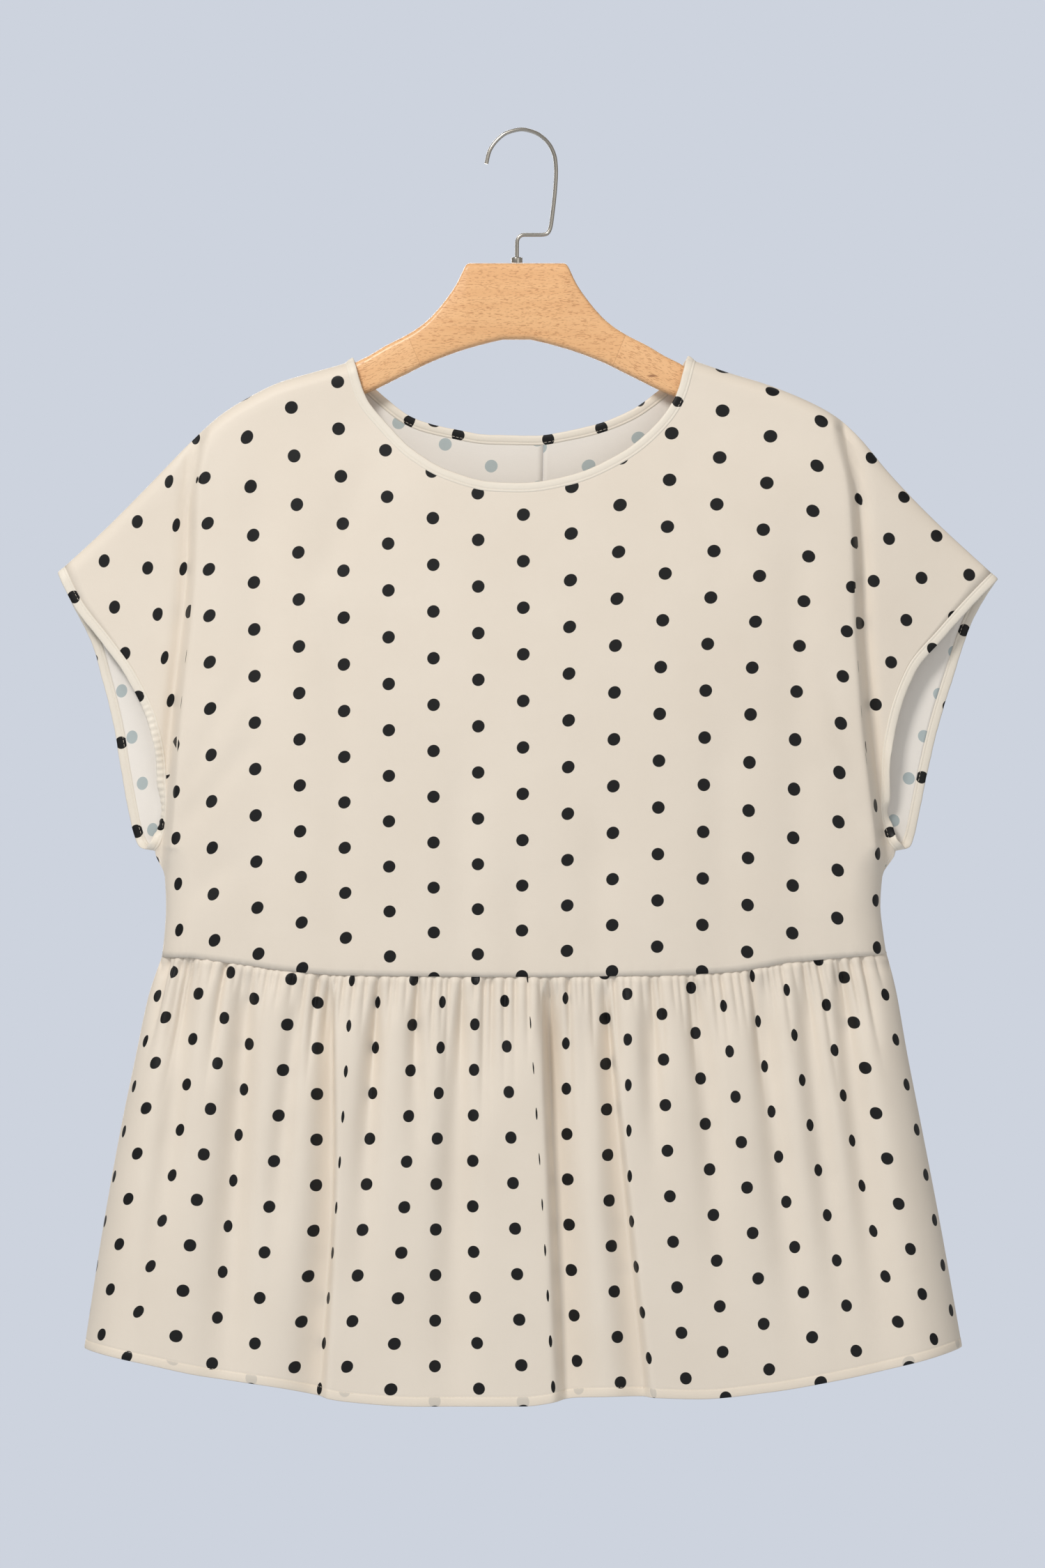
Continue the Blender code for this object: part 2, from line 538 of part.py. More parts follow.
def fold_depth(x, share, face):
    """How deep the large folds press the peplum in at one point."""
    depth = 0.0
    for row in FOLDS:
        fold = dict(zip(FOLD_COLUMNS, row))
        if fold["face"] != face:
            continue
        places = [fold["seam_x"], fold["middle_x"], fold["hem_x"]]
        middle = between([0.0, FOLD_MIDDLE_SHARE, 1.0], places, share)
        half = fold["seam_half"] + (fold["hem_half"] - fold["seam_half"]) * share
        length = smooth(share, -0.06, 0.16) * (1 - smooth(share, fold["reach"] * 0.4, fold["reach"] * 1.1))
        depth += fold["depth"] * length * exp(-((x - middle) / half) ** 2)
    return depth


def peplum(name, face, waist, finish):
    """A gathered peplum: small gathers at the seam that run out into the large folds."""
    count = 2 * GATHERS
    gathered = [n / count + GATHER_DRIFT * sin(1.7 * n) / count * (0 < n < count) for n in range(count + 1)]
    rows = []
    outward = []
    for share in PEPLUM_FINE_ROWS + PEPLUM_ROWS:
        fine = share in PEPLUM_FINE_ROWS
        places = gathered if fine else gathered[::2]
        height = GATHER_DEPTH * (1 - smooth(share, 0.0, 0.11))
        row = []
        ways = []
        for n, (point, away) in enumerate(peplum_section(share, face, places)):
            swells = fine and 0 < n < len(places) - 1
            swell = height * (0.75 + 0.25 * sin(2.1 * n)) * (1 if n % 2 else -1) * swells
            point = point + away * (swell - fold_depth(point.x, share, face))
            out = point.x / PEPLUM.at("right", share)
            seam_z = seam_height(waist, out * PEPLUM.at("right", 0)) - GAP
            point.z = seam_z + (HEM.at("z", out * PEPLUM.at("right", 1)) - seam_z) * share
            row.append(point)
            ways.append(away)
        rows.append(row)
        outward.append(ways)
    normals = skin_normals(rows, face)
    normals[0] = [without(normal, 2) for normal in normals[0]]
    for row, line in zip(rows, normals):
        for c in (0, -1):
            line[c] = without(line[c], 1)
    return wall(name, rows, normals, finish)


def hanger_arms(finish):
    """The bent wooden arms: rounded sections set square to the way the wood runs."""
    maker = bmesh.new()
    rings = []
    stations = [-out for out in HANGER_STATIONS[:0:-1]] + list(HANGER_STATIONS)
    for out in stations:
        top, foot = HANGER_TOP.at("z", abs(out)), HANGER_FOOT.at("z", abs(out))
        thin = HANGER_HALF_THICK - 1.5 * smooth(abs(out), 190, 221)
        corner = min(HANGER_CORNER, (top - foot) / 2 - 0.2, thin - 0.4)
        ring = []
        for quarter, (across, up) in enumerate(((1, 1), (-1, 1), (-1, -1), (1, -1))):
            centre_y = across * (thin - corner)
            centre_z = (top - corner) if up > 0 else (foot + corner)
            for step in range(3):
                angle = radians(90 * quarter + 45 * step)
                ring.append(maker.verts.new(Vector((HANGER_X + out, centre_y + corner * cos(angle),
                                                    centre_z + corner * sin(angle))) * MM))
        rings.append(ring)
    for ring, following in zip(rings, rings[1:]):
        stitch(maker, ring + ring[:1], following + following[:1])
    maker.faces.new(rings[0])
    maker.faces.new(rings[-1])
    return place("hanger_arms", maker, finish)


def hook(finish):
    """The bent wire, as a tube along its route."""
    curve = bpy.data.curves.new("hanger_hook", "CURVE")
    curve.dimensions = "3D"
    curve.bevel_depth = WIRE_RADIUS * MM
    curve.bevel_resolution = 2
    curve.use_fill_caps = True
    spline = curve.splines.new("POLY")
    route = Edge(HOOK_ROUTE)
    spline.points.add(WIRE_STEPS)
    for n in range(WIRE_STEPS + 1):
        x, z = route.at(n / WIRE_STEPS)
        spline.points[n].co = (x * MM, 0, z * MM, 1)
    curve.materials.append(finish)
    thing = bpy.data.objects.new("hanger_hook", curve)
    bpy.context.collection.objects.link(thing)
    return thing


def ferrule(finish):
    maker = bmesh.new()
    bmesh.ops.create_cone(maker, cap_ends=True, segments=20, radius1=FERRULE_RADIUS * MM,
                          radius2=FERRULE_RADIUS * MM, depth=FERRULE_HEIGHT * MM)
    rims = [edge for edge in maker.edges if len({round(vert.co.z, 6) for vert in edge.verts}) == 1]
    bmesh.ops.bevel(maker, geom=rims, offset=0.5 * MM, segments=1, affect="EDGES")
    thing = place("hanger_ferrule", maker, finish)
    thing.location = Vector((SHANK_X, 0, FERRULE_TOP_Z - FERRULE_HEIGHT / 2)) * MM
    return thing


def main():
    for thing in list(bpy.data.objects):
        bpy.data.objects.remove(thing, do_unlink=True)
    satin = material("cream satin", (0.80, 0.73, 0.64), 0.5)
    bound = material("cream binding", (0.86, 0.80, 0.70), 0.5)
    beech = material("beech", (0.76, 0.45, 0.23), 0.45)
    steel = material("brushed steel", (0.55, 0.53, 0.50), 0.35, 1.0)

    sides = {(face, side): outer_columns(side, face, foot)
             for face in (FRONT, BACK) for side, foot in (("left", -NECK_FOOT), ("right", NECK_FOOT))}
    shares = [share / 2 for share in NECK_SHARES] + [1 - share / 2 for share in NECK_SHARES[-2::-1]]
    front_neck = neck_columns(NECK_FRONT, -NECK_FOOT, NECK_FOOT, shares)[1:-1]
    left_neck = neck_columns(NECK_BACK_LEFT, -NECK_FOOT, BACK_SEAM_FOOT, NECK_SHARES)[1:]
    right_neck = neck_columns(NECK_BACK_RIGHT, NECK_FOOT, BACK_SEAM_FOOT, NECK_SHARES)[1:][::-1]
    front = bodice_panel("bodice_front", FRONT, sides[FRONT, "left"], sides[FRONT, "right"], front_neck,
                         satin)
    back_left = bodice_panel("bodice_back_left", BACK, sides[BACK, "left"], [], left_neck, satin)
    back_right = bodice_panel("bodice_back_right", BACK, [], sides[BACK, "right"], right_neck, satin)

    middle = len(front[0][0]) // 2
    last_right = len(back_right[0][0]) - 1
    front_left = neck_stations(front, range(NECK_COLUMN, middle + 1))
    front_right = neck_stations(front, range(2 * middle - NECK_COLUMN, middle - 1, -1))
    rear_left = neck_stations(back_left, range(NECK_COLUMN, len(back_left[0][0])))
    rear_right = neck_stations(back_right, range(last_right - NECK_COLUMN, -1, -1))
    neck = [join_ends(front_left[0], rear_left[0])] + front_left[1:-1]
    neck += [join_ends(front_left[-1], front_right[-1])] + front_right[-2:0:-1]
    neck += [join_ends(front_right[0], rear_right[0])] + rear_right[1:-1]
    neck += [join_ends(rear_right[-1], rear_left[-1])] + rear_left[-2:0:-1]
    binding("neck_binding", neck, bound)

    for side, back, column, inner in (("left", back_left, 0, 1), ("right", back_right, -1, -2)):
        fore, rear = armhole_stations(front, column, inner), armhole_stations(back, column, inner)
        ring = [join_ends(fore[0], rear[0])] + fore[1:-1] + [join_ends(fore[-1], rear[-1])] + rear[-2:0:-1]
        binding("armhole_binding_" + side, ring, bound)

    peplum("peplum_front", FRONT, front[0][-1], satin)
    peplum("peplum_back", BACK, back_left[0][-1] + back_right[0][-1], satin)
    hanger_arms(beech)
    ferrule(steel)
    hook(steel)


main()
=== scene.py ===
"""Looks of the babydoll blouse on its wooden hanger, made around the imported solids.

The frame is metres with +Z up. The blouse faces -Y and +X is the viewer's right.
Sizes and tables below are in millimetres, and MM turns them into metres.
"""

from bisect import bisect_left, bisect_right
from math import cos, exp, pi, radians, sin, sqrt, tanh
import random

import bmesh
import bpy
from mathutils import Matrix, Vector


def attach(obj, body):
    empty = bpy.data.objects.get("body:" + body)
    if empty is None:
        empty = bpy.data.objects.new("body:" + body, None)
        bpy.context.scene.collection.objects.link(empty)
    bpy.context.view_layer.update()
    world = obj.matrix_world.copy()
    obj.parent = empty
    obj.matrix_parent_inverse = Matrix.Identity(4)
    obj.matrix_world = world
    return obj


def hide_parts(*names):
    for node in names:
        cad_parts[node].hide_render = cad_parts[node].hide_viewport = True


MM = 0.001
FRONT, BACK = -1, 1         # sign of Y on the two faces of the blouse
SHEET = 0.6                 # thickness of one layer of satin
SEAM_GAP = 0.1              # between two layers at a seam

SEAM_FLAT_HALF = 215.0      # half of the shoulder that lies straight over the hanger
SLEEVE_TIP_HALF = 340.0     # middle to sleeve tip
SLEEVE_SET_BACK = 12.0      # how far behind the hanger the sleeve tips droop
SLEEVE_OUT = {FRONT: 5.0, BACK: 8.5}    # how far each layer of a sleeve stands from its seam
ARCH_RADIUS = 10.5          # cloth turning over the hanger's top edge
FOLD_WIDTH = 8.5            # the body's edge fold, from its ridge to its trough
FOLD_DIP = {FRONT: 3.8, BACK: 2.0}      # extra depth of that trough
FOLD_DIP_HALF = 5.0
SEAM_DIP, SEAM_DIP_HALF = 0.3, 1.4      # how the waist seam draws the cloth in
RIPPLE_DEPTH, RIPPLE_REACH = 0.22, 9.0  # the bodice's ripples above it
CENTRE_DIP_HALF = 0.9       # half width of the dip at the centre-back seam
CREASE_FADE = 60            # run over which an upright crease starts and ends
DRAG_END = 15               # the same for a drag line
UNDERARM_OUT = 0.3          # how far the binding's turn stands off at the underarm
SIDE_RADIUS = 24.0          # round of the side seams, measured across
BULGE = 0.8                 # power that shapes a body's round from its middle to its edge
HEM_SIDE_REACH = 14.0       # how much wider the side's round is at the hem than at the waist
SECTION_SAMPLES = 240       # steps that measure a peplum level along its curve

# Rows and columns of the bodice's cloth. Each step of the solids' own is cut into FINE.
FINE = 6
ARCH_STEPS = 10
SIDE_ROWS = (-336, -353, -372, -392, -414, -438, -463, -485, -501, -511, -516.5, -538, -565, -592)
UNDERARM_ROW = ARCH_STEPS + FINE * (1 + SIDE_ROWS.index(-516.5))
NECK_SHARES = (0.0, 0.005, 0.018, 0.039, 0.065, 0.13, 0.23, 0.36, 0.5, 0.66, 0.83, 1.0)
TROUGH_TOP, RIDGE_TOP, SHOULDER_TOP = 232.5, 224.0, 212.0
SLEEVE_COLUMNS, FOLD_COLUMNS_OVER, RIDGE_COLUMNS, SHOULDER_COLUMNS = 18, 12, 10, 20
NECK_FOOT = 190             # foot of the columns that start at the neck points
RIDGE_FOOT, SHOULDER_FOOT = 252, 238    # feet of the ridge and shoulder columns
SHOULDER_LEVEL = 0.55       # how nearly the shoulder column's rows are level with the side rows
TIP_SLANT = 0.89            # height lost along the slanted sleeve edge, of each step down it
BACK_SEAM_FOOT = 9          # foot of the centre-back seam
NECK_COLUMN = SLEEVE_COLUMNS + FOLD_COLUMNS_OVER + RIDGE_COLUMNS + SHOULDER_COLUMNS

PEPLUM_COLUMNS = 640
PEPLUM_LENGTH = 300.0       # its drop, which turns the distances below into shares
# Distances of the peplum's rows below the waist seam, and those at its foot above the hem's edge.
PEPLUM_ROWS = (-1.5, -0.6, 0.3, 1.2, 2.2, 3.4, 4.8, 6.5, 8.5, 11, 14, 17.5, 21.5, 26, 31, 37, 43, 50, 58, 67,
               77, 88, 100, 112, 125, 138, 151, 164, 177, 190, 203, 216, 229, 241, 253, 264, 274, 283, 289)
HEM_ROWS = (8.6, 7.5, 6.9, 6.5, 6.1, 5.4, 3.6, 1.8, 0.6, 0.0)
HEM_STITCH = 6.5            # the hem's stitch line above its edge
HEM_LIFT, HEM_ROUND = 0.35, 0.55        # how the turned-up hem stands out, and how its edge turns in
HEM_DIP, HEM_DIP_HALF = 0.3, 0.45       # how its stitching draws it in
SWELL, SEAM_SET_IN = 1.9, 0.6           # how the peplum stands out below the seam, and starts inside it
SIDE_COLUMNS = 10           # columns over which folds end at a side seam
JOINED_RUN = 16             # drop over which the peplum leaves the bodice's form
GATHER_COUNT = 78
GATHER_HALF = 260.0         # half of the waist seam that is gathered
GATHER_GAPS = (0.55, 1.5)   # narrowest and widest gap, against each other
GATHER_GROWTH = 13          # how much wider a gather would be at the hem
GATHER_REACH = 22           # how far to each side a gather is felt
PEPLUM_CUT_WIDTH, PEPLUM_CUT_LENGTH = 768.0, 322.0

PUCKER_PITCH = 5.0          # ripples of the left front armhole's binding
STITCH_LENGTH, STITCH_PITCH, STITCH_THICK = 2.2, 2.9, 0.13
STITCH_SIDES, STITCH_START, STITCH_SINK = 6, 0.3, 0.1
STITCH_BROAD = 1.25         # width of a stitch against its height
STITCH_OUT = 1.3            # the edge stitching's place across a binding
STITCH_UP = {FRONT: 0.3, BACK: -0.9}    # on the right side and on the wrong side

HANGER_X = -4.75            # the hanger's own middle
HANGER_HALF_THICK = 6.0
HANGER_CORNER = 4.2
HANGER_END = ((1.7, 0.86), (1.0, 0.62))     # steps that round an arm's end: reach and size left
NEAR = 1e-5                 # metres
WIRE_RADIUS = 1.4
WIRE_STEPS = 150
HOOK_CROWN_Z = WIRE_RADIUS
SHANK_X = -4.5
FERRULE_RADIUS = 4.0
FERRULE_TOP_Z = -90.75
FERRULE_HEIGHT = 3.7

ARM_SLANT = radians(22)     # the arms' grain
# The joints of the hanger's middle with its arms: distance out at a level under the top, and slope.
JOINT_OUT, JOINT_LEVEL, JOINT_SLOPE = 77.5, 148, 0.42
KNOT_X, KNOT_Z, KNOT_TURN = 92.5, -175.75, radians(-28)
ARM_GRAIN_SHIFT = 0.31      # metres between the two arms' places in the wood

CAMERA_AWAY = 5.0
VIEW_CENTRE = (-0.5, -468.25)   # the photograph's middle, as X and Z
BACKDROP = (205, 211, 222)
AIR, AIR_STRENGTH = (0.98, 0.97, 0.95, 1), 0.38


def between(keys, values, key):
    """Reads a smooth curve through the rows, which never swings past a row's value."""
    if key <= keys[0]:
        return values[0]
    if key >= keys[-1]:
        return values[-1]
    i = bisect_left(keys, key) - 1
    last = len(keys) - 2

    def rise(n):
        return (values[n + 1] - values[n]) / (keys[n + 1] - keys[n])

    def slope(n):
        if n == 0 or n > last:
            return rise(min(n, last))
        before, after = rise(n - 1), rise(n)
        return 0.0 if before * after <= 0 else 2 * before * after / (before + after)

    step = keys[i + 1] - keys[i]
    t = (key - keys[i]) / step
    return (values[i] * (1 + 2 * t) * (1 - t) ** 2 + step * slope(i) * t * (1 - t) ** 2
            + values[i + 1] * t * t * (3 - 2 * t) + step * slope(i + 1) * t * t * (t - 1))


class Table:
    """Rows under named columns. The first column is the one that is looked up."""

    def __init__(self, names, *rows):
        rows = sorted(rows)
        self.keys = [row[0] for row in rows]
        self.columns = {name: [row[n] for row in rows] for n, name in enumerate(names.split())}

    def at(self, name, key):
        return between(self.keys, self.columns[name], key)


class Edge:
    """A line through (x, z) rows, read by its share from 0 at the first to 1 at the last."""

    def __init__(self, rows):
        self.rows = rows
        runs = [0.0]
        for (x0, z0), (x1, z1) in zip(rows, rows[1:]):
            runs.append(runs[-1] + sqrt((x1 - x0) ** 2 + (z1 - z0) ** 2))
        self.keys = [run / runs[-1] for run in runs]

    def at(self, share):
        return tuple(between(self.keys, [row[n] for row in self.rows], share) for n in (0, 1))


# Top line of the shoulders and sleeves. The innermost rows run on inside the neck opening.
SHOULDER_LEFT = Table("x z", (-100, -155.5), (-121, -163.6), (-127.5, -166.2), (-150.5, -172.8),
                      (-175.5, -180.3), (-200.5, -192.8), (-217.5, -203.8), (-238.5, -222.8),
                      (-269.5, -254.3), (-300, -284.5), (-330, -312))
SHOULDER_RIGHT = Table("x z", (96, -156), (123.5, -164.9), (150, -174), (174, -181.3), (208, -195.3),
                       (224.5, -204.8), (239.5, -217.8), (263, -245.3), (292, -275.3), (336.8, -316.5))

# Edges of the cloth inside the bindings: left neck point, round the opening, right neck point.
NECK_FRONT = [(-127.5, -166.2), (-118, -195.3), (-107.5, -208.8), (-82.5, -234.3), (-53.5, -250.8),
              (-21, -258.8), (-0.5, -259.3), (34.5, -253.8), (67, -240.3), (93.5, -221.3),
              (114.5, -194.3), (123.5, -164.9)]
NECK_BACK_LEFT = [(-127.5, -166.2), (-120, -179), (-109, -190.5), (-79.5, -212), (-52, -219.2),
                  (-26, -223.5), (14.5, -224.3)]
NECK_BACK_RIGHT = [(123.5, -164.9), (115, -178), (102, -190), (78.5, -206.3), (52, -216.5), (14.5, -224.3)]

# Side edges of the cloth: the armhole's two edges, which meet at the underarm, then the side seam.
SIDE_LEFT = Table("z front back", (-312, -330, -330), (-337, -317.5, -318.5), (-365, -296, -304.5),
                  (-389, -279, -297.5), (-425, -262.5, -288.5), (-455, -257, -283.5), (-483, -256.5, -278.5),
                  (-501, -258.3, -274.5), (-511, -260.8, -270.3), (-516.5, -264.5, -264.5),
                  (-534, -257.5, -257.5), (-556, -256.5, -256.5),
                  (-575, -257.5, -257.5), (-592, -259.5, -259.5))
SIDE_RIGHT = Table("z front back", (-316.5, 336.8, 336.8), (-337, 317, 323.5), (-356, 300, 314.5),
                   (-385, 276, 305), (-424, 262, 293), (-455, 257.3, 285.5), (-484, 257, 279.5),
                   (-501, 259.5, 276), (-511, 263, 272.5), (-516.5, 267.5, 267.5), (-534, 258, 258),
                   (-556, 256.5, 256.5), (-575, 258.5, 258.5), (-592, 261, 261))
# How far the side seams' round reaches out above the underarm, where the sleeves part the two faces.
ROUND_OUT = Table("z left right", (-480, 400, 400), (-501, 310, 312), (-511, 283, 285),
                  (-516.5, 264.5, 267.5), (-534, 257.5, 258), (-556, 256.5, 256.5),
                  (-575, 257.5, 258.5), (-592, 259.5, 261))
WAIST = Table("x z", (-260, -592.2), (-225, -592.8), (-176, -601), (-125, -604.8), (0, -605.7),
              (95, -604.8), (145, -602.7), (200, -594.4), (261, -590.2))

# The fold where the body stands forward of the sleeves, by height.
BODY_FOLD = Table("z left right", (-556, -262, 262), (-528, -253.5, 254), (-495, -249.8, 250),
                  (-462, -247.5, 246), (-428, -245, 242), (-389, -241, 239), (-354, -237, 236.5),
                  (-312, -233.5, 235.5), (-255, -232, 232), (-215, -224, 222))
BODY_DEPTH = Table("z front_edge front_middle back_edge back_middle", (-592, 14, 34, 13, 21.5),
                   (-540, 16, 33, 13, 21), (-450, 17, 30, 13, 19.5), (-350, 14.5, 25, 12, 17),
                   (-260, 12, 18, 11.5, 14), (-205, 10.5, 12, 10.5, 12), (-165, 10.5, 10.5, 10.5, 10.5))

# Soft upright creases of the bodice: middle, half width, depth, top and foot.
CREASE_COLUMNS = ("face", "x", "half_width", "depth", "top_z", "foot_z")
CREASES = [dict(zip(CREASE_COLUMNS, row)) for row in (
    (FRONT, -190, 16, 1.6, -215, -420), (FRONT, -133, 14, 1.2, -330, -560),
    (FRONT, -45, 13, 1.6, -430, -600), (FRONT, -4, 10, 1.3, -500, -600),
    (FRONT, 52, 13, 1.6, -470, -600), (FRONT, 142, 15, 1.5, -400, -600),
    (FRONT, 196, 15, 1.8, -260, -560), (BACK, -150, 18, 2.0, -240, -560),
    (BACK, -70, 16, 1.6, -330, -600), (BACK, 40, 14, 1.4, -400, -600),
    (BACK, 120, 18, 2.0, -260, -580))]

# Slanted drag lines of the bodice: face, both ends, half width and depth.
DRAGS = [(FRONT, (-243, -498), (-196, -440), 9, 1.1), (FRONT, (-240, -470), (-205, -395), 8, 0.8),
         (FRONT, (244, -500), (204, -446), 9, 1.2), (FRONT, (238, -466), (214, -380), 8, 0.9),
         (FRONT, (-250, -560), (-205, -520), 10, 0.9), (FRONT, (250, -565), (210, -520), 10, 0.9),
         (FRONT, (-292, -330), (-262, -405), 7, 0.9), (FRONT, (296, -322), (264, -408), 7, 1.0),
         (FRONT, (-270, -285), (-248, -360), 7, 0.7), (FRONT, (276, -290), (252, -365), 7, 0.8),
         (FRONT, (-112, -240), (-150, -330), 14, 0.9), (FRONT, (112, -232), (150, -320), 14, 0.9),
         (BACK, (-243, -495), (-190, -430), 10, 1.1), (BACK, (244, -498), (196, -436), 10, 1.1),
         (BACK, (-285, -310), (-262, -400), 8, 0.9), (BACK, (290, -312), (264, -400), 8, 0.9),
         (BACK, (-60, -250), (-110, -340), 14, 0.9), (BACK, (80, -250), (120, -350), 14, 0.9)]

# The peplum by share of its length: side outlines and how far each face stands out.
PEPLUM = Table("share left right front_edge front_middle back_edge back_middle",
               (0, -259.5, 261, 14, 34, 13, 21.5), (0.1, -269, 268, 17, 37, 15, 24),
               (0.25, -278, 275.5, 21, 40, 18, 26), (0.45, -289.5, 286.5, 25, 42, 21, 28),
               (0.7, -302, 300, 29, 44, 24, 30), (1, -315, 315, 32, 46, 26, 32))
HEM = Table("x z", (-315, -872.5), (-270, -881.5), (-225, -890.8), (-175, -897.8), (-125, -907.8),
            (-75, -911), (0, -910.8), (40, -905.5), (70, -904.3), (125, -905.8), (174, -901.3),
            (224, -893), (275, -881.8), (315, -871.5))

# Large folds of the peplum, as troughs: place at seam, middle and hem, depth and half widths, then
# how far down it reaches and how much steeper its left side is, or below 0 its right side.
FOLD_COLUMNS = ("face", "seam_x", "middle_x", "hem_x", "depth", "seam_half", "hem_half", "reach", "steep")
FOLDS = [dict(zip(FOLD_COLUMNS, row)) for row in (
    (FRONT, -236, -252, -270, 6.5, 7, 15, 0.9, 1), (FRONT, -198, -205, -214, 11.0, 8, 17, 1.3, 1),
    (FRONT, -160, -172, -186, 6.0, 6, 13, 0.8, 1), (FRONT, -138, -137, -146, 13.0, 9, 18, 1.8, -4.5),
    (FRONT, -103, -112, -118, 7.0, 6, 14, 0.8, 1), (FRONT, -76, -76, -78, 5.0, 6, 12, 0.5, 1),
    (FRONT, -42, -48, -50, 8.0, 7, 17, 1.1, 1), (FRONT, 15, 22, 31, 17.0, 10, 24, 1.8, 4.5),
    (FRONT, 41, 46, 52, 4.5, 6, 12, 0.5, 1), (FRONT, 58, 69, 86, 13.0, 9, 18, 1.8, -4.5),
    (FRONT, 88, 94, 104, 6.0, 6, 12, 0.5, 1), (FRONT, 124, 134, 146, 6.5, 7, 16, 0.8, 1),
    (FRONT, 170, 181, 198, 8.0, 7, 16, 1.0, 1), (FRONT, 198, 213, 232, 8.0, 7, 15, 1.0, 1),
    (FRONT, 224, 240, 258, 9.0, 7, 16, 1.1, 1),
    (BACK, -232, -247, -266, 5.5, 8, 17, 1.2, 1), (BACK, -190, -200, -214, 6.5, 8, 18, 1.1, 1.6),
    (BACK, -146, -153, -160, 5.0, 7, 15, 0.9, 1), (BACK, -102, -108, -118, 8.0, 7, 16, 1.4, 1.8),
    (BACK, -62, -64, -68, 4.0, 6, 12, 0.6, 1), (BACK, -20, -22, -28, 7.0, 7, 18, 1.2, 1),
    (BACK, 26, 26, 28, 5.0, 7, 13, 0.8, 1), (BACK, 64, 70, 78, 9.0, 7, 16, 1.5, 1.8),
    (BACK, 112, 118, 126, 4.5, 7, 14, 0.7, 1), (BACK, 152, 162, 176, 7.0, 8, 18, 1.2, 1),
    (BACK, 200, 212, 228, 5.5, 7, 16, 1.0, 1.5), (BACK, 236, 250, 268, 4.5, 7, 15, 0.9, 1))]
FOLD_MIDDLE_SHARE = 0.42    # share of the length where a large fold passes its middle place

# The satin's print: dots in a half-drop repeat.
DOT_ACROSS, DOT_DOWN, DOT_RADIUS, DOT_SOFT = 64.0, 33.3, 4.5, 0.15
WEAVE_PITCH = 0.42
HEM_TONE, HEM_DOT_TONE, HEM_DOT_SOFT = (240, 226, 206), (150, 152, 150), 0.4    # seen through the cloth
LEAN_AT = 192               # place across at which the lean's outer columns hold
BREAK_WIDTH = 1.2           # run over which the sleeve's print takes over
DRAWN_IN_X, DRAWN_IN_Z, DRAWN_IN = -224, -430, 0.24     # the print beside the left fold, under the sleeve
PRINT_LEVEL = -409          # height of the row of dots that the print is counted from
# How far the print leans to the right and stands up on the bodice, by height and place across.
LEAN = Table("z left middle right", (-200, -7, 0, 20), (-300, -1, 0, 12), (-400, 0, 0, 3.5),
             (-500, 1, -0.5, 1), (-590, 3, -1, 0))
RISE = Table("z far_left edge_left left near_left middle near_right right edge_right far_right",
             (-200, -30, -22, -8, -3, 1, 9, 6, -2, -6), (-300, -30, -22, -14.5, -4, 0, 8, 5, 0, -6),
             (-400, -32, -22, -15.5, -4.5, 0, 7.5, 7, 2, -4),
             (-500, -32, -22, -15.2, -2.5, 0.5, 7.2, 2.5, -3, -9),
             (-590, -32, -22, -14.5, 1, 3.5, 8, 0.5, -6, -10))
RISE_PLACES = ((-250, "far_left"), (-224, "edge_left"), (-192, "left"), (-96, "near_left"), (0, "middle"),
               (96, "near_right"), (192, "right"), (224, "edge_right"), (254, "far_right"))
# The print on the sleeves, which hang at a slant: a dot's place, its print, and the print's turn.
SLEEVE_PRINT = {"left": ((-277, -280), (-288, -183.15), (1.056, 0.238), (0.375, -0.916)),
                "right": ((297, -290), (288, -149.85), (0.951, -0.345), (-0.418, -0.947))}
# Cloth hidden behind the body's edge fold: how far out from its ridge the print starts anew.
PRINT_BREAK = Table("z left right", (-240, 1, 10), (-265, 1, 9), (-295, 1, 5), (-325, 1, 2.5),
                    (-345, 1, 0.5), (-460, 1, 0.5))
PRINT_EASED = {"left": (9.0, 11.5, 24.0), "right": (0.0, 0.0, 24.0)}    # and how it is drawn in beside it
SLEEVE_FOOT = {FRONT: (-470, -450), BACK: (-540, -525)}     # where the sleeve's print ends
FOLD_PRINT_TOP = -440       # below it the body's print runs on round its edge fold
# The back panels and their sleeves are cut from other places of the cloth.
BACK_PRINT = {"left": (22.5, 3.5), "right": (-42.9, -2.0)}
BACK_SLEEVE_PRINT = {"left": (9.5, 10.0), "right": (-9.5, 10.0)}

# The peplum's columns of dots: place at seam, middle and hem, then how wide a dot shows there.
PRINT_COLUMNS = {
    -12: (-260, -294, -332, 6, 6, 6), -11: (-250, -277, -307, 6, 8, 8), -10: (-229, -249, -283, 8, 6, 7),
    -9: (-208, -229, -251, 6, 8, 9), -8: (-190, -207, -223, 8, 5.5, 8), -7: (-165, -179, -194, 8, 8, 8),
    -6: (-147, -148, -165, 8, 8, 8), -5: (-122, -132, -146, 4, 1.5, 3.5), -4: (-103, -112, -128, 3, 8, 8),
    -3: (-78, -84, -95, 6, 8, 9), -2: (-57, -62, -63, 4, 8, 8), -1: (-34, -36, -31, 6, 8, 8),
    0: (-14, -7, 0, 6, 8, 8.5), 1: (3, 13, 22, 0.5, 0.7, 3), 2: (30, 32, 40, 3.5, 8, 7),
    3: (58, 61, 70, 8, 8, 8), 4: (74, 76, 93, 7.5, 3, 4), 5: (98, 104, 117, 7, 8, 8),
    6: (119, 134, 144, 7, 8, 8), 7: (140, 159, 177, 4, 8, 8), 8: (163, 185, 212, 3, 6.5, 8.5),
    9: (185, 211, 241, 4, 5.5, 8), 10: (211, 239, 275, 7, 4.5, 8.5), 11: (227, 260, 297, 7, 8, 6),
    12: (253, 289, 316, 7, 4, 4)}
DOT_SHOWN = 8.5             # width of a dot that shows whole
COLUMN_STEP = DOT_ACROSS / 2
PRINT_PAST_LAST = 1.2       # cloth for each millimetre beyond the outermost columns
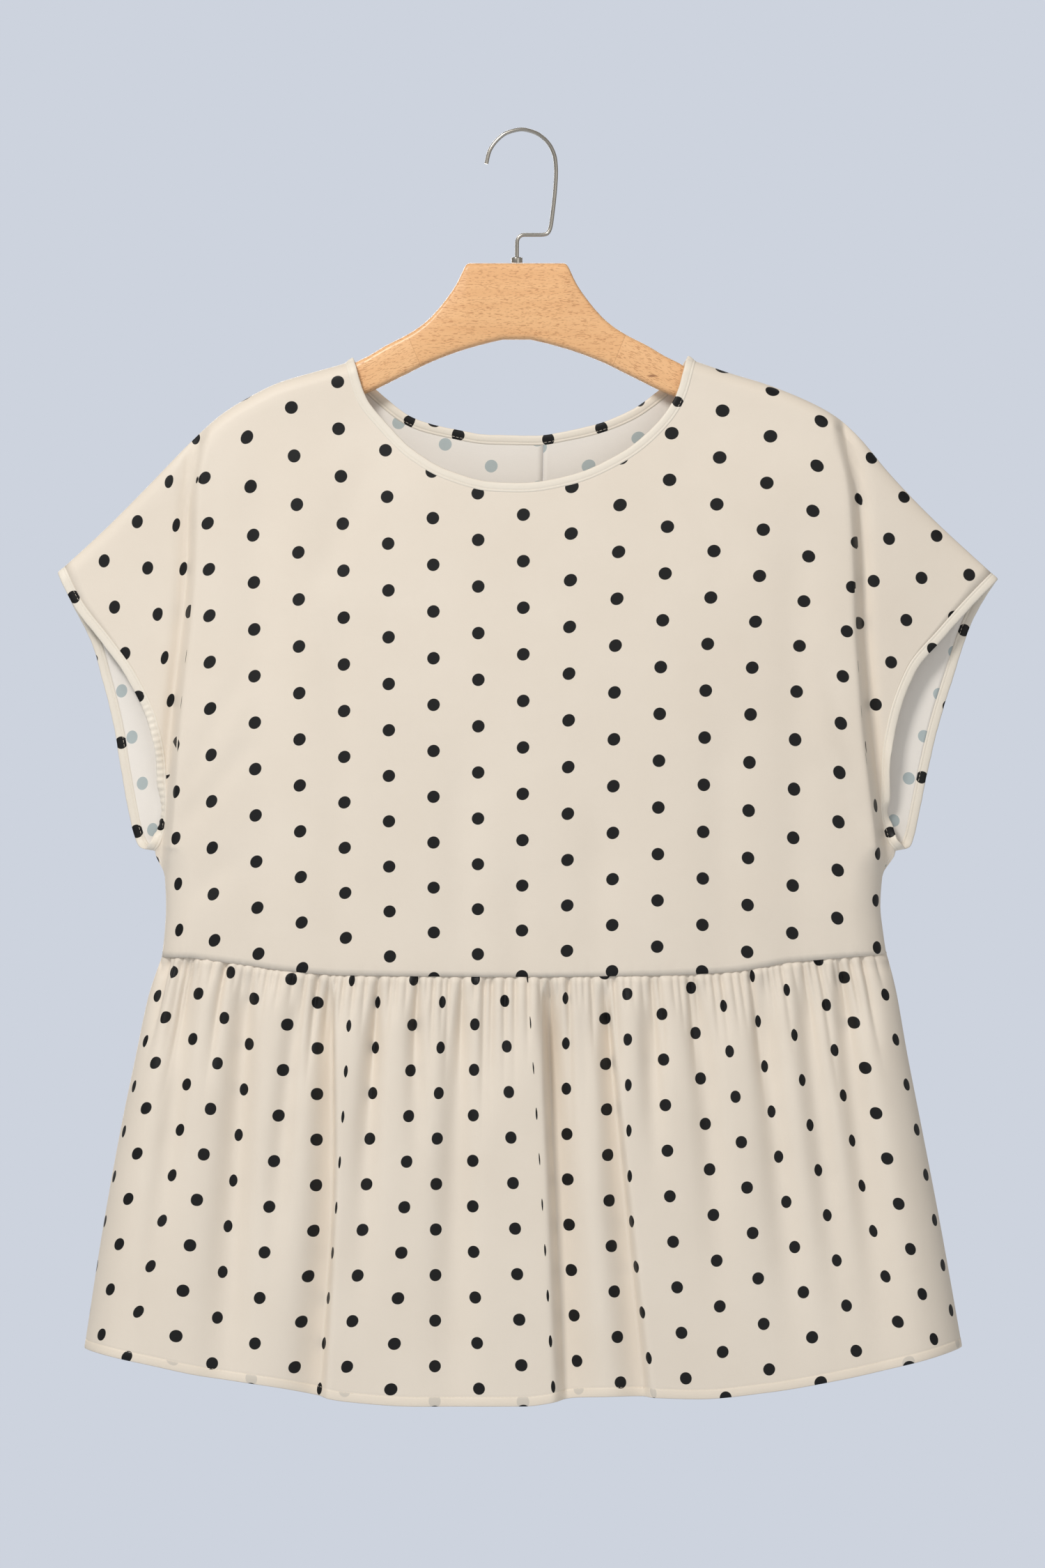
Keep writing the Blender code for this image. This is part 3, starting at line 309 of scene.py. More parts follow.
BACK_PEPLUM_SHIFT = 14.0
# How far below the seam the first dot of the odd columns lies.
PRINT_FIRST = Table("column below", (-12, 12), (-5, 3.5), (0, 1), (5, -5), (9, -14), (12, -21))
PRINT_EASE = 1.03           # cloth for each millimetre of the drop

# Outline of the hanger by distance from its middle, and the wire's route above it.
HANGER_TOP = Table("out z", (0, -94.75), (33.5, -94.75), (35.2, -95.2), (36.6, -96.5), (37.8, -98.6),
                   (39.2, -101.6), (43, -109.5), (50.7, -120.8),
                   (61, -133), (69.8, -140.5), (78.5, -146), (95, -154.5), (106, -161.2),
                   (117.2, -166.7), (119.5, -168.3), (123, -169.3), (146, -175.4), (171, -183.2),
                   (196, -195.5), (206, -201.5), (213, -207.5), (218, -214), (221, -222))
HANGER_FOOT = Table("out z", (0, -149.5), (10, -150), (32, -155), (58.3, -164.2), (83.3, -176.3),
                    (108.3, -188.3), (146, -201.5), (171, -209.5), (196, -221.5), (210, -228.5),
                    (218, -230.5), (221, -226))
HANGER_STATIONS = (10, 18, 26, 31, 33.5, 34.5, 35.2, 35.9, 36.6, 37.2, 37.8, 38.5, 39.2, 41, 43, 46.5, 50.7,
                   55.5, 61, 65.4, 69.8, 74, 78.5, 83, 87, 91, 95, 100, 106, 111.5, 117.2, 119.5, 123, 128,
                   134, 140, 146, 152, 158, 164, 171, 177.5, 184, 190, 196, 201, 206, 210, 213, 216, 218)
HOOK_ROUTE = [(-26.5, -23.3), (-24.3, -14.5), (-19, -6.6), (-11.3, -0.9), (-1, HOOK_CROWN_Z), (7.6, -0.5),
              (15, -5.2), (20.3, -12), (23, -20.2), (23.6, -29), (22.9, -42), (21.3, -57), (19.4, -69.6),
              (16.8, -73.6), (12.5, -74.3), (0.2, -74.3), (-3.2, -76), (-4.4, -79.6), (SHANK_X, -90.45)]


def smooth(value, low, high):
    """Runs softly from 0 at low to 1 at high."""
    t = min(max((value - low) / (high - low), 0.0), 1.0)
    return t * t * (3 - 2 * t)


def quarter_round(distance, radius):
    """Height of a quarter circle, from 0 at its start to 1 at its radius."""
    return sqrt(max(1 - (1 - min(max(distance / radius, 0.0), 1.0)) ** 2, 0.0))


def subdivided(values, parts):
    """The values with each step cut into even parts."""
    made = [values[0]]
    for a, b in zip(values, values[1:]):
        made += [a + (b - a) * n / parts for n in range(1, parts + 1)]
    return made


def runs_along(points):
    """Distances along a line of points, 0 at its first."""
    runs = [0.0]
    for a, b in zip(points, points[1:]):
        runs.append(runs[-1] + (b - a).length)
    return runs


def step_at(runs, run):
    """The step of a line that a distance along it falls in, and the share of that step."""
    n = min(max(bisect_left(runs, run) - 1, 0), len(runs) - 2)
    return n, (run - runs[n]) / (runs[n + 1] - runs[n])


def shoulder_z(x):
    return (SHOULDER_LEFT if x < 0 else SHOULDER_RIGHT).at("z", x)


def seam_y(x):
    """Depth of the shoulder and side seams, which fall back past the hanger's ends."""
    return SLEEVE_SET_BACK * smooth(abs(x), SEAM_FLAT_HALF, SLEEVE_TIP_HALF)


def crease_y(x, z, face):
    """Soft troughs and drag lines, pressed in towards the middle of the blouse."""
    depth = 0.0
    for crease in CREASES:
        if crease["face"] == face:
            length = smooth(z, crease["top_z"], crease["top_z"] - CREASE_FADE)
            length *= 1 - 0.4 * smooth(z, crease["foot_z"] + CREASE_FADE, crease["foot_z"])
            depth += crease["depth"] * length * exp(-((x - crease["x"]) / crease["half_width"]) ** 2)
    for side, (x0, z0), (x1, z1), half, deep in DRAGS:
        if side == face:
            run = sqrt((x1 - x0) ** 2 + (z1 - z0) ** 2)
            along = ((x - x0) * (x1 - x0) + (z - z0) * (z1 - z0)) / run
            off = ((x - x0) * (z1 - z0) - (z - z0) * (x1 - x0)) / run
            if abs(off) < 3 * half and -DRAG_END < along < run + DRAG_END:
                ends = smooth(along, -DRAG_END, DRAG_END) * smooth(along, run + DRAG_END, run - DRAG_END)
                depth += deep * ends * exp(-(off / half) ** 2)
    return -face * depth


def bodice_y(x, z, face):
    """Depth of the bodice's outer skin, seen as a height over the photograph's plane."""
    side = "left" if x < 0 else "right"
    name = "front" if face == FRONT else "back"
    ridge = abs(BODY_FOLD.at(side, z))
    across = min(abs(x) / ridge, 1.0)
    edge = BODY_DEPTH.at(name + "_edge", z)
    middle = BODY_DEPTH.at(name + "_middle", z)
    body = face * (edge + (middle - edge) * (1 - across * across) ** BULGE) + crease_y(x, z, face)
    past = abs(x) - ridge
    sleeve = seam_y(x) + face * SLEEVE_OUT[face]
    sleeve -= face * FOLD_DIP[face] * exp(-((past - FOLD_WIDTH) / FOLD_DIP_HALF) ** 2)
    flat = body + (sleeve - body) * smooth(past, -1.0, FOLD_WIDTH)
    slope = (shoulder_z(x + 1) - shoulder_z(x - 1)) / 2
    below = (shoulder_z(x) - z) / sqrt(1 + slope * slope)
    inside = ROUND_OUT.at(side, z) - abs(x)
    rounding = quarter_round(below, ARCH_RADIUS) * quarter_round(inside, SIDE_RADIUS)
    return seam_y(x) + face * SEAM_GAP / 2 + (flat - seam_y(x)) * rounding


def row_distances(length):
    """Distances down a column: close together over the hanger, then even."""
    arch = [ARCH_RADIUS * (1 - cos(radians(90) * n / ARCH_STEPS)) for n in range(ARCH_STEPS + 1)]
    count = len(SIDE_ROWS) * FINE
    rest = (length - ARCH_RADIUS) / count
    return arch + [ARCH_RADIUS + rest * n for n in range(1, count + 1)]


def straight_column(top, foot):
    """Places (x, z) down a straight line from the top line to the waist."""
    length = sqrt((foot[0] - top[0]) ** 2 + (foot[1] - top[1]) ** 2)
    shares = [distance / length for distance in row_distances(length)]
    return [(top[0] + (foot[0] - top[0]) * share, top[1] + (foot[1] - top[1]) * share) for share in shares]


def columns_between(first, last, count):
    """The columns after the first, up to the last, evenly between them and on the shoulder line."""
    made = []
    for n in range(1, count + 1):
        share = n / count
        column = [(a[0] + (b[0] - a[0]) * share, a[1] + (b[1] - a[1]) * share) for a, b in zip(first, last)]
        if share < 1:
            lift = shoulder_z(column[0][0]) - column[0][1]
            column = [(x, z + lift * (1 - smooth(row, ARCH_STEPS, ARCH_STEPS + 3 * FINE)))
                      for row, (x, z) in enumerate(column)]
        made.append(column)
    return made


def outer_columns(side, face, foot_x):
    """Columns of one sleeve and shoulder, from the armhole and side seam in to the neck point."""
    sign, edges = (-1, SIDE_LEFT) if side == "left" else (1, SIDE_RIGHT)
    name = "front" if face == FRONT else "back"
    tip_z = edges.keys[-1]
    heights = [tip_z - TIP_SLANT * step for step in row_distances(ARCH_RADIUS)[:ARCH_STEPS + 1]]
    side_rows = subdivided([heights[-1]] + list(SIDE_ROWS), FINE)[1:]
    armhole = [(edges.at(name, z), z) for z in heights + side_rows]
    armhole[0] = (armhole[0][0], shoulder_z(armhole[0][0]))
    waist_side = edges.at(name, -592)
    armhole[-1] = (waist_side, WAIST.at("z", waist_side))

    def levelled(top_x, foot_x, level):
        """A straight column whose rows sink towards the side rows' heights, level 1 the whole way."""
        line = straight_column((sign * top_x, shoulder_z(sign * top_x)), (foot_x, WAIST.at("z", foot_x)))
        places = line[:ARCH_STEPS + 1]
        for n, ((x, z), side_z) in enumerate(zip(line[ARCH_STEPS + 1:-1], side_rows)):
            lower = z + (side_z - z) * level * min(0.3 * (n + 1) / FINE, 1.0)
            run = (lower - places[0][1]) / (line[-1][1] - places[0][1])
            places.append((places[0][0] + (foot_x - places[0][0]) * run, lower))
        return places + [line[-1]]

    def fold_line(top_x, out):
        """A column along the body's edge fold, a stretch out from its ridge."""
        places = []
        for row, (x, z) in enumerate(levelled(top_x, sign * RIDGE_FOOT, 1.0)):
            edge = abs(edges.at(name, z)) if z < tip_z else 400
            ridge = min(abs(BODY_FOLD.at(side, z)), edge - 5)
            across = ridge + min(out, 0.55 * (edge - ridge))
            across = top_x + (across - top_x) * smooth(row, ARCH_STEPS, ARCH_STEPS + FINE)
            places.append((sign * across, z))
        foot = places[-1][0]
        places[-1] = (foot, WAIST.at("z", foot))
        return places

    trough, ridge = fold_line(TROUGH_TOP, FOLD_WIDTH), fold_line(RIDGE_TOP, 0)
    shoulder = levelled(SHOULDER_TOP, sign * SHOULDER_FOOT, SHOULDER_LEVEL)
    neck_x = NECK_FRONT[0 if sign < 0 else -1][0]
    neck = straight_column((neck_x, shoulder_z(neck_x)), (foot_x, WAIST.at("z", foot_x)))
    return ([armhole] + columns_between(armhole, trough, SLEEVE_COLUMNS)
            + columns_between(trough, ridge, FOLD_COLUMNS_OVER)
            + columns_between(ridge, shoulder, RIDGE_COLUMNS)
            + columns_between(shoulder, neck, SHOULDER_COLUMNS))


def neck_columns(neck_rows, foot_from, foot_to, shares):
    """Columns that hang from a stretch of the neckline, with their feet evenly apart."""
    neck = Edge(neck_rows)
    columns = []
    for n, share in enumerate(shares):
        foot_x = foot_from + (foot_to - foot_from) * n / (len(shares) - 1)
        columns.append(straight_column(neck.at(share), (foot_x, WAIST.at("z", foot_x))))
    return columns


def skin_normals(rows, face):
    """Outward directions at each point of a grid of rows, from its neighbours."""
    normals = []
    for r, row in enumerate(rows):
        above, below = rows[max(r - 1, 0)], rows[min(r + 1, len(rows) - 1)]
        line = []
        for c in range(len(row)):
            across = row[min(c + 1, len(row) - 1)] - row[max(c - 1, 0)]
            normal = across.cross(below[c] - above[c])
            line.append(normal.normalized() if normal.length > 1e-9 else Vector((0, face, 0)))
        normals.append(line)
    middle = normals[len(normals) // 2][len(normals[0]) // 2]
    turn = 1 if middle.y * face > 0 else -1
    return [[normal * turn for normal in line] for line in normals]


def without(normal, axis):
    """The direction with one axis taken out, so that an edge lies square to that axis."""
    kept = normal.copy()
    kept[axis] = 0
    return kept.normalized()


def bodice_print(x, z, face, panel):
    """Place on the printed cloth of one point of the bodice."""
    side = "left" if x < 0 else "right"
    lean = LEAN.at("middle", z)
    lean += (LEAN.at(side, z) - lean) * min(abs(x) / LEAN_AT, 1.2)
    rises = [RISE.at(name, z) for _, name in RISE_PLACES]
    rise = between([place for place, _ in RISE_PLACES], rises, x)
    across, down = x - lean, rise - z + PRINT_LEVEL
    if x < DRAWN_IN_X and z < DRAWN_IN_Z:
        across += DRAWN_IN * (x - DRAWN_IN_X)
    if face == BACK:
        across += BACK_PRINT[panel][0]
        down += BACK_PRINT[panel][1]
    past = abs(x) - abs(BODY_FOLD.at(side, z))
    start = PRINT_BREAK.at(side, z)
    mix = smooth(past, start, start + BREAK_WIDTH) * smooth(z, *SLEEVE_FOOT[face])
    if mix > 0:
        (x0, z0), (across0, down0), across_turn, down_turn = SLEEVE_PRINT[side]
        dx, dz = x - x0, z - z0
        sleeve_across = across0 + across_turn[0] * dx + across_turn[1] * dz
        sleeve_down = down0 + down_turn[0] * dx + down_turn[1] * dz
        if face == FRONT:
            across_in, down_in, reach = PRINT_EASED[side]
            beside = max(1 - past / reach, 0.0)
            sleeve_across += across_in * beside
            sleeve_down += down_in * beside
        else:
            sleeve_across += BACK_SLEEVE_PRINT[side][0]
            sleeve_down += BACK_SLEEVE_PRINT[side][1]
        across += (sleeve_across - across) * mix
        down += (sleeve_down - down) * mix
    return across, down


def peplum_levels(share, places):
    """The print's place across for points of one level of the front peplum."""
    keys, values = [], []
    for n, row in sorted(PRINT_COLUMNS.items()):
        middle = between([0.0, 0.5, 1.0], row[:3], share)
        half = between([0.0, 0.5, 1.0], row[3:], share) / 2
        keys += [middle - half, middle + half]
        values += [COLUMN_STEP * n - DOT_SHOWN / 2, COLUMN_STEP * n + DOT_SHOWN / 2]
    made = []
    for x in places:
        if x < keys[0]:
            made.append(values[0] + (x - keys[0]) * PRINT_PAST_LAST)
        elif x > keys[-1]:
            made.append(values[-1] + (x - keys[-1]) * PRINT_PAST_LAST)
        else:
            made.append(between(keys, values, x))
    return made


def back_levels(share, places):
    """The same for the back, where each fold hides its part of the cut width."""
    folds = [fold for fold in FOLDS if fold["face"] == BACK]
    total = sum(fold["depth"] for fold in folds)
    hidden = PEPLUM_CUT_WIDTH - (PEPLUM.at("right", share) - PEPLUM.at("left", share))
    made = []
    for x in places:
        across = x - hidden / 2
        for fold in folds:
            step = (x - fold_middle(fold, share)) / (0.5 * fold_half(fold, share))
            across += hidden * fold["depth"] / total * 0.5 * (1 + tanh(step))
        made.append(across + BACK_PEPLUM_SHIFT)
    return made


def fold_middle(fold, share):
    places = [fold["seam_x"], fold["middle_x"], fold["hem_x"]]
    return between([0.0, FOLD_MIDDLE_SHARE, 1.0], places, share)


def fold_half(fold, share):
    return fold["seam_half"] + (fold["hem_half"] - fold["seam_half"]) * share


def fold_depths(share, face, places):
    """How deep the large folds press one level of the peplum in."""
    folds = []
    for fold in FOLDS:
        if fold["face"] == face:
            length = smooth(share, -0.06, 0.16)
            length *= 1 - smooth(share, fold["reach"] * 0.4, fold["reach"] * 1.1)
            half = fold_half(fold, share)
            folds.append((fold_middle(fold, share), half, fold["depth"] * length, fold["steep"]))
    made = []
    for x in places:
        depth = 0.0
        for middle, half, deep, steep in folds:
            off = (x - middle) / half
            if off * steep < 0:
                off *= abs(steep)
            if abs(off) < 3:
                depth += deep * exp(-off * off)
        made.append(depth)
    return made


def gather_list(seed):
    """Small gathers at the waist seam: place, depth, half width and how far down each runs."""
    chance = random.Random(seed)
    gaps = [chance.uniform(*GATHER_GAPS) for _ in range(GATHER_COUNT + 1)]
    scale = 2 * GATHER_HALF / sum(gaps)
    place = -GATHER_HALF
    gathers = []
    for gap in gaps[:-1]:
        place += gap * scale
        strong = chance.random() ** 1.5
        reach = 0.09 + 0.38 * strong * chance.uniform(0.6, 1.2)
        gathers.append((place, 1.8 + 4.4 * strong, 1.3 + 1.0 * strong, reach))
    return gathers


def gather_depths(share, gathers, places):
    """How deep the small gathers press one level in."""
    spread = PEPLUM.at("right", share) / PEPLUM.at("right", 0)
    active = []
    for place, deep, half, reach in gathers:
        fade = 1 - smooth(share, reach * 0.25, reach)
        if fade > 0.01:
            grown = half + GATHER_GROWTH * max(share, 0.0)
            active.append((place * spread, deep * fade, grown))
    middles = [row[0] for row in active]
    made = []
    for x in places:
        depth = 0.0
        for n in range(bisect_left(middles, x - GATHER_REACH), bisect_right(middles, x + GATHER_REACH)):
            middle, deep, half = active[n]
            off = abs(x - middle) / half
            if off < 3:
                depth += deep * exp(-off ** 1.3)
        made.append(depth)
    return made


def peplum_section(share, face, count):
    """Points and outward directions of one level of a peplum, at even places along its curve."""
    name = "front" if face == FRONT else "back"
    left, right = PEPLUM.at("left", share), PEPLUM.at("right", share)
    edge, middle = PEPLUM.at(name + "_edge", share), PEPLUM.at(name + "_middle", share)
    reach = SIDE_RADIUS + HEM_SIDE_REACH * max(share, 0.0)
    half = (right - left) / 2
    seam = seam_y(GATHER_HALF)

    def point_at(x):
        across = (x - (left + right) / 2) / half
        round_off = quarter_round(min(x - left, right - x), reach)
        depth = face * (edge + (middle - edge) * max(1 - across * across, 0) ** BULGE)
        return Vector((x, seam + face * SEAM_GAP / 2 + (depth - seam) * round_off, 0))

    samples = [point_at((left + right) / 2 - half * cos(pi * n / SECTION_SAMPLES))
               for n in range(SECTION_SAMPLES + 1)]
    runs = runs_along(samples)
    points = []
    for step in range(count + 1):
        n, t = step_at(runs, min(step / count * runs[-1], runs[-1]))
        way = (samples[min(n + 2, SECTION_SAMPLES)] - samples[max(n - 1, 0)]).normalized()
        points.append((samples[n].lerp(samples[n + 1], t), Vector((way.y, -way.x, 0)) * -face))
    return points


def linked(name, data, *finishes):
    """A new piece of the scene from its data."""
    thing = bpy.data.objects.new(name, data)
    bpy.context.collection.objects.link(thing)
    for finish in finishes:
        data.materials.append(finish)
    return thing


def cloth_piece(name, rows, prints, face, hem=None):
    """A sheet from a grid of places, with the print's place on it, given its thickness inwards."""
    mesh = bpy.data.meshes.new(name)
    across = len(rows[0])
    places = [point * MM for row in rows for point in row]
    faces = []
    for r in range(len(rows) - 1):
        for c in range(across - 1):
            a, b = r * across + c, (r + 1) * across + c
            faces.append((a, b, b + 1, a + 1) if face == FRONT else (a, a + 1, b + 1, b))
    mesh.from_pydata(places, [], faces)
    layers = [("print", [place for row in prints for place in row])]
    if hem:
        layers.append(("hem", [place for row in hem for place in row]))
    for label, values in layers:
        layer = mesh.uv_layers.new(name=label)
        for loop in mesh.loops:
            u, v = values[loop.vertex_index]
            layer.data[loop.index].uv = (u * MM, v * MM)
    mesh.shade_smooth()
    thing = linked(name, mesh, HEMMED_SATIN if hem else SATIN, WRONG_SIDE)
    thickness = thing.modifiers.new("one layer", "SOLIDIFY")
    thickness.thickness = SHEET * MM
    thickness.offset = -1
    thickness.material_offset = 1
    thickness.material_offset_rim = 0
    apply_modifiers(thing)
    return thing


def alone(thing):
    """Selects one piece and makes it the active one."""
    bpy.ops.object.select_all(action="DESELECT")
    thing.select_set(True)
    bpy.context.view_layer.objects.active = thing


def apply_modifiers(thing):
    alone(thing)
    for modifier in list(thing.modifiers):
        bpy.ops.object.modifier_apply(modifier=modifier.name)
    thing.select_set(False)


def print_over_top(line, marks):
    """Keeps the print's size where a column of places turns over the shoulder."""
    extra = 0.0
    for r in range(ARCH_STEPS + FINE, -1, -1):
        step = line[r] - line[r + 1]
        extra += step.length - sqrt(step.x ** 2 + step.z ** 2)
        marks[r] = (marks[r][0], marks[r][1] - extra)


def print_round_side(columns, printed, sign, face):
    """The same where the rows turn at a side seam or a fold. The columns run from the neck point out."""
    side = "left" if sign < 0 else "right"
    for r in range(len(columns[0])):
        extra = 0.0
        for c in range(1, len(columns)):
            point = columns[c][r]
            folded = face == FRONT and point.z < FOLD_PRINT_TOP
            folded = folded and abs(point.x) > abs(BODY_FOLD.at(side, point.z)) - 1
            if folded or ROUND_OUT.at(side, point.z) - abs(point.x) < SIDE_RADIUS:
                step = point - columns[c - 1][r]
                extra += sqrt(step.x ** 2 + step.y ** 2) - abs(step.x)
            across, down = printed[c][r]
            printed[c][r] = (across + sign * extra, down)


def bodice_panel(face, left, right, neck):
    """One bodice panel's grid of places, its print and its outward directions."""
    columns = left + neck + right[::-1]
    last = len(columns) - 1
    grid, printed = [], []
    for c, column in enumerate(columns):
        line, marks = [], []
        for r, (x, z) in enumerate(column):
            y = bodice_y(x, z, face)
            above_waist = WAIST.at("z", x) - z
            y -= face * SEAM_DIP * exp(-(above_waist / SEAM_DIP_HALF) ** 2)
            ripple = sin(x * 0.93 + 2 * sin(x * 0.31))
            y -= face * RIPPLE_DEPTH * exp(-(above_waist / RIPPLE_REACH) ** 2) * ripple
            line.append(Vector((x, y, z)))
            marks.append(bodice_print(x, z, face, "left" if left else "right"))
        print_over_top(line, marks)
        grid.append(line)
        printed.append(marks)
    if left:
        print_round_side(grid[NECK_COLUMN::-1], printed[NECK_COLUMN::-1], -1, face)
    if right:
        print_round_side(grid[last - NECK_COLUMN:], printed[last - NECK_COLUMN:], 1, face)
    if not left or not right:
        for c, line in enumerate(grid):
            edge = grid[0 if not left else -1]
            for r, point in enumerate(line):
                off = abs(point.x - edge[r].x)
                point.y -= face * SEAM_DIP * exp(-(off / CENTRE_DIP_HALF) ** 2)
        for point in grid[0 if not left else -1]:
            point.x += SEAM_GAP / 2 if not left else -SEAM_GAP / 2
    rows = [list(row) for row in zip(*grid)]
    marks = [list(row) for row in zip(*printed)]
    normals = skin_normals(rows, face)
    for c in range(last + 1):
        from_left = c if left else last + 1
        from_right = last - c if right else last + 1
        if min(from_left, from_right) <= NECK_COLUMN:
            normals[0][c] = without(normals[0][c], 1)
    return rows, marks, normals


def peplum_grid(face, gathers):
    """One peplum's grid of places, its print and its height above the hem's edge."""
    rows, prints, hems = [], [], []
    shares = [distance / PEPLUM_LENGTH for distance in PEPLUM_ROWS]
    shares += [1 - distance / PEPLUM_LENGTH for distance in HEM_ROWS]
    width = PEPLUM.at("right", 0)
    levels = peplum_levels if face == FRONT else back_levels
    for share in shares:
        level = max(share, 0.0)
        section = peplum_section(level, face, PEPLUM_COLUMNS)
        xs = [point.x for point, _ in section]
        folds = fold_depths(level, face, xs)
        small = gather_depths(level, gathers, xs)
        across = levels(level, xs)
        reach = SIDE_RADIUS + HEM_SIDE_REACH * level
        for way, edge in ((-1, xs[0]), (1, xs[-1])):
            extra = 0.0
            at_middle = PEPLUM_COLUMNS // 2
            for step in range(1, at_middle + 1):
                n = at_middle + way * step
                if abs(edge - xs[n]) < reach:
                    move = section[n][0] - section[n - way][0]
                    extra += move.length - abs(move.x)
                across[n] += way * extra
        from_seam = share * PEPLUM_LENGTH
        above_hem = (1 - share) * PEPLUM_LENGTH
        swell = SWELL * smooth(from_seam, -0.4, 4.6) * (1 - 0.5 * smooth(from_seam, 8, 60)) - SEAM_SET_IN
        started = 0.4 + 0.6 * smooth(from_seam, 0, 5)
        drawn_in = exp(-((above_hem - HEM_STITCH) / HEM_DIP_HALF) ** 2)
        hem_form = HEM_LIFT * smooth(above_hem, 6.9, 6.3) - HEM_DIP * drawn_in
        hem_form -= HEM_ROUND * smooth(above_hem, 1.8, 0)
        row, marks, heights = [], [], []
        for n, (point, away) in enumerate(section):
            out = point.x / PEPLUM.at("right", level)
            seam_z = WAIST.at("z", out * width)
            hem_z = HEM.at("z", out * PEPLUM.at("right", 1))
            side = smooth(min(n, PEPLUM_COLUMNS - n), 0, SIDE_COLUMNS)
            joined = 1 - smooth(from_seam, 0, JOINED_RUN)
            depth = folds[n] * (1 - joined) + small[n] * started
            at = point + away * ((swell + hem_form) * side - depth * side)
            if joined > 0:
                skin = bodice_y(point.x, seam_z, face)
                at.y += (skin - point.y) * joined * side
            at.z = seam_z + (hem_z - seam_z) * share
            row.append(at)
            first = PRINT_FIRST.at("below", across[n] / COLUMN_STEP)
            down = (seam_z - at.z) * PRINT_EASE - first + DOT_DOWN / 2
            marks.append((across[n], down))
            heights.append((above_hem, 0.0))
        rows.append(row)
        prints.append(marks)
        hems.append(heights)
    return rows, prints, hems


def edge_stations(points, normals, inners):
    """Stations along a panel's edge. Each runs out square to the edge, away from its inner neighbour."""
    stations = []
    for n, (point, normal, inner) in enumerate(zip(points, normals, inners)):
        along = points[min(n + 1, len(points) - 1)] - points[max(n - 1, 0)]
        if n == 0:
            along = Vector((0, point.y - points[1].y, 0))
        away = normal.cross(along).normalized()
        if away.dot(point - inner) < 0:
            away = -away
        stations.append((point, normal, away))
    return stations


def join_ends(first, second):
    """One station from the two that meet across a seam."""
    return ((first[0] + second[0]) / 2, (first[1] + second[1]).normalized(),
            (first[2] + second[2]).normalized())


def armhole_stations(panel, column, inner):
    """Stations down a panel's side edge, from the sleeve tip to the underarm."""
    rows, _, normals = (grid[:UNDERARM_ROW + 1] for grid in panel)
    stations = edge_stations([row[column] for row in rows], [line[column] for line in normals],
                             [row[inner] for row in rows])
    sign = 1 if rows[0][column].x > 0 else -1
    lift = radians(20)
    away = Vector((sign * cos(lift), 0, sin(lift)))
    down = Vector((sign * sin(lift), 0, -cos(lift)))
    return stations[:-1] + [(stations[-1][0] + away * UNDERARM_OUT, down, away)]


def neck_stations(panel, columns):
    """Stations along a panel's neck edge, from the neck point on."""
    rows, _, normals = panel
    return edge_stations([rows[0][c] for c in columns], [normals[0][c] for c in columns],
                         [rows[3][c] for c in columns])


def eased(stations, parts, passes):
    """A closed ring of stations, cut finer and with its turns softened."""
    ring = []
    for a, b in zip(stations, stations[1:] + stations[:1]):
        steps = max(1, round((b[0] - a[0]).length / parts))
        for step in range(steps):
            t = step / steps
            ring.append([a[k].lerp(b[k], t) for k in range(3)])
    for _ in range(passes):
        ring = [[(ring[n - 1][k] + ring[n][k] * 2 + ring[(n + 1) % len(ring)][k]) / 4 for k in range(3)]
                for n in range(len(ring))]
    return [(point, normal.normalized(), away.normalized()) for point, normal, away in ring]


# Section of a binding: how far out from the cloth's edge, and how far up from its skin.
BINDING_SECTION = ((-0.5, -0.02), (-0.25, 0.26), (0.4, 0.4), (0.95, 0.42), (1.3, 0.2), (1.65, 0.42),
                   (2.8, 0.52), (4.2, 0.52), (5.3, 0.42), (6.1, 0.15), (6.5, -0.3), (6.1, -0.75),
                   (5.3, -1.02), (4.2, -1.12), (2.8, -1.12), (1.65, -1.02), (1.3, -0.8), (0.95, -1.02),
                   (0.4, -1.0), (-0.25, -0.86), (-0.5, -0.58))
# Dots that show on the bindings: place, height, face, and how far round the folded strip they lie.
BINDING_DOTS = {
    "neck": ((108, -194, FRONT, 3.4), (-84.5, -208, BACK, 9.3), (-45, -213, BACK, 9.6), (18, -222, BACK, 9.4),
             (53.5, -209, BACK, 9.8), (-65, -210, BACK, 3.2), (88, -200, BACK, 3.2)),
    "left": ((-323.5, -335, FRONT, 3.2), (-277.8, -406, FRONT, 5.5), (-260.5, -497, FRONT, 3.4),
             (-302, -375, BACK, 2.5), (-287, -438, BACK, 9.5), (-276.8, -502, BACK, 9.0)),
    "right": ((298, -375, FRONT, 5.8), (266.7, -501.5, FRONT, 3.4), (317.6, -357, BACK, 9.2),
              (300, -410, BACK, 3.0), (292.4, -464.5, BACK, 9.4))}
DOT_REACH = 6.0             # of the strip to each side of a dot that keeps its true size
BINDING_FOLD = -0.3         # level at which the strip turns to the wrong side
BINDING_AROUND = 12.6       # width of the strip round both sides
FAR_OFF = 1e6


def nearest_station(stations, x, z, face):
    """Index of the station nearest to a place, on the given face's side of the seams."""
    def distance(n):
        point = stations[n][0]
        other = (point.y - seam_y(point.x)) * face < 0
        return (point.x - x) ** 2 + (point.z - z) ** 2 + FAR_OFF * other
    return min(range(len(stations)), key=distance)


def binding_print(stations, runs, dots):
    """How the strip's print lies along its run: the place along the print, and the row of dots."""
    found = sorted((runs[nearest_station(stations, x, z, face)], centre) for x, z, face, centre in dots)
    keys, along, rows = [0.0], [-50.0], [found[0][1]]
    for n, (run, centre) in enumerate(found):
        for step in (-DOT_REACH, DOT_REACH):
            keys.append(run + step)
            along.append(n * DOT_ACROSS + step)
            rows.append(centre)
    keys.append(runs[-1] + 5)
    along.append(len(found) * DOT_ACROSS - 14)
    rows.append(found[-1][1])
    return keys, along, rows


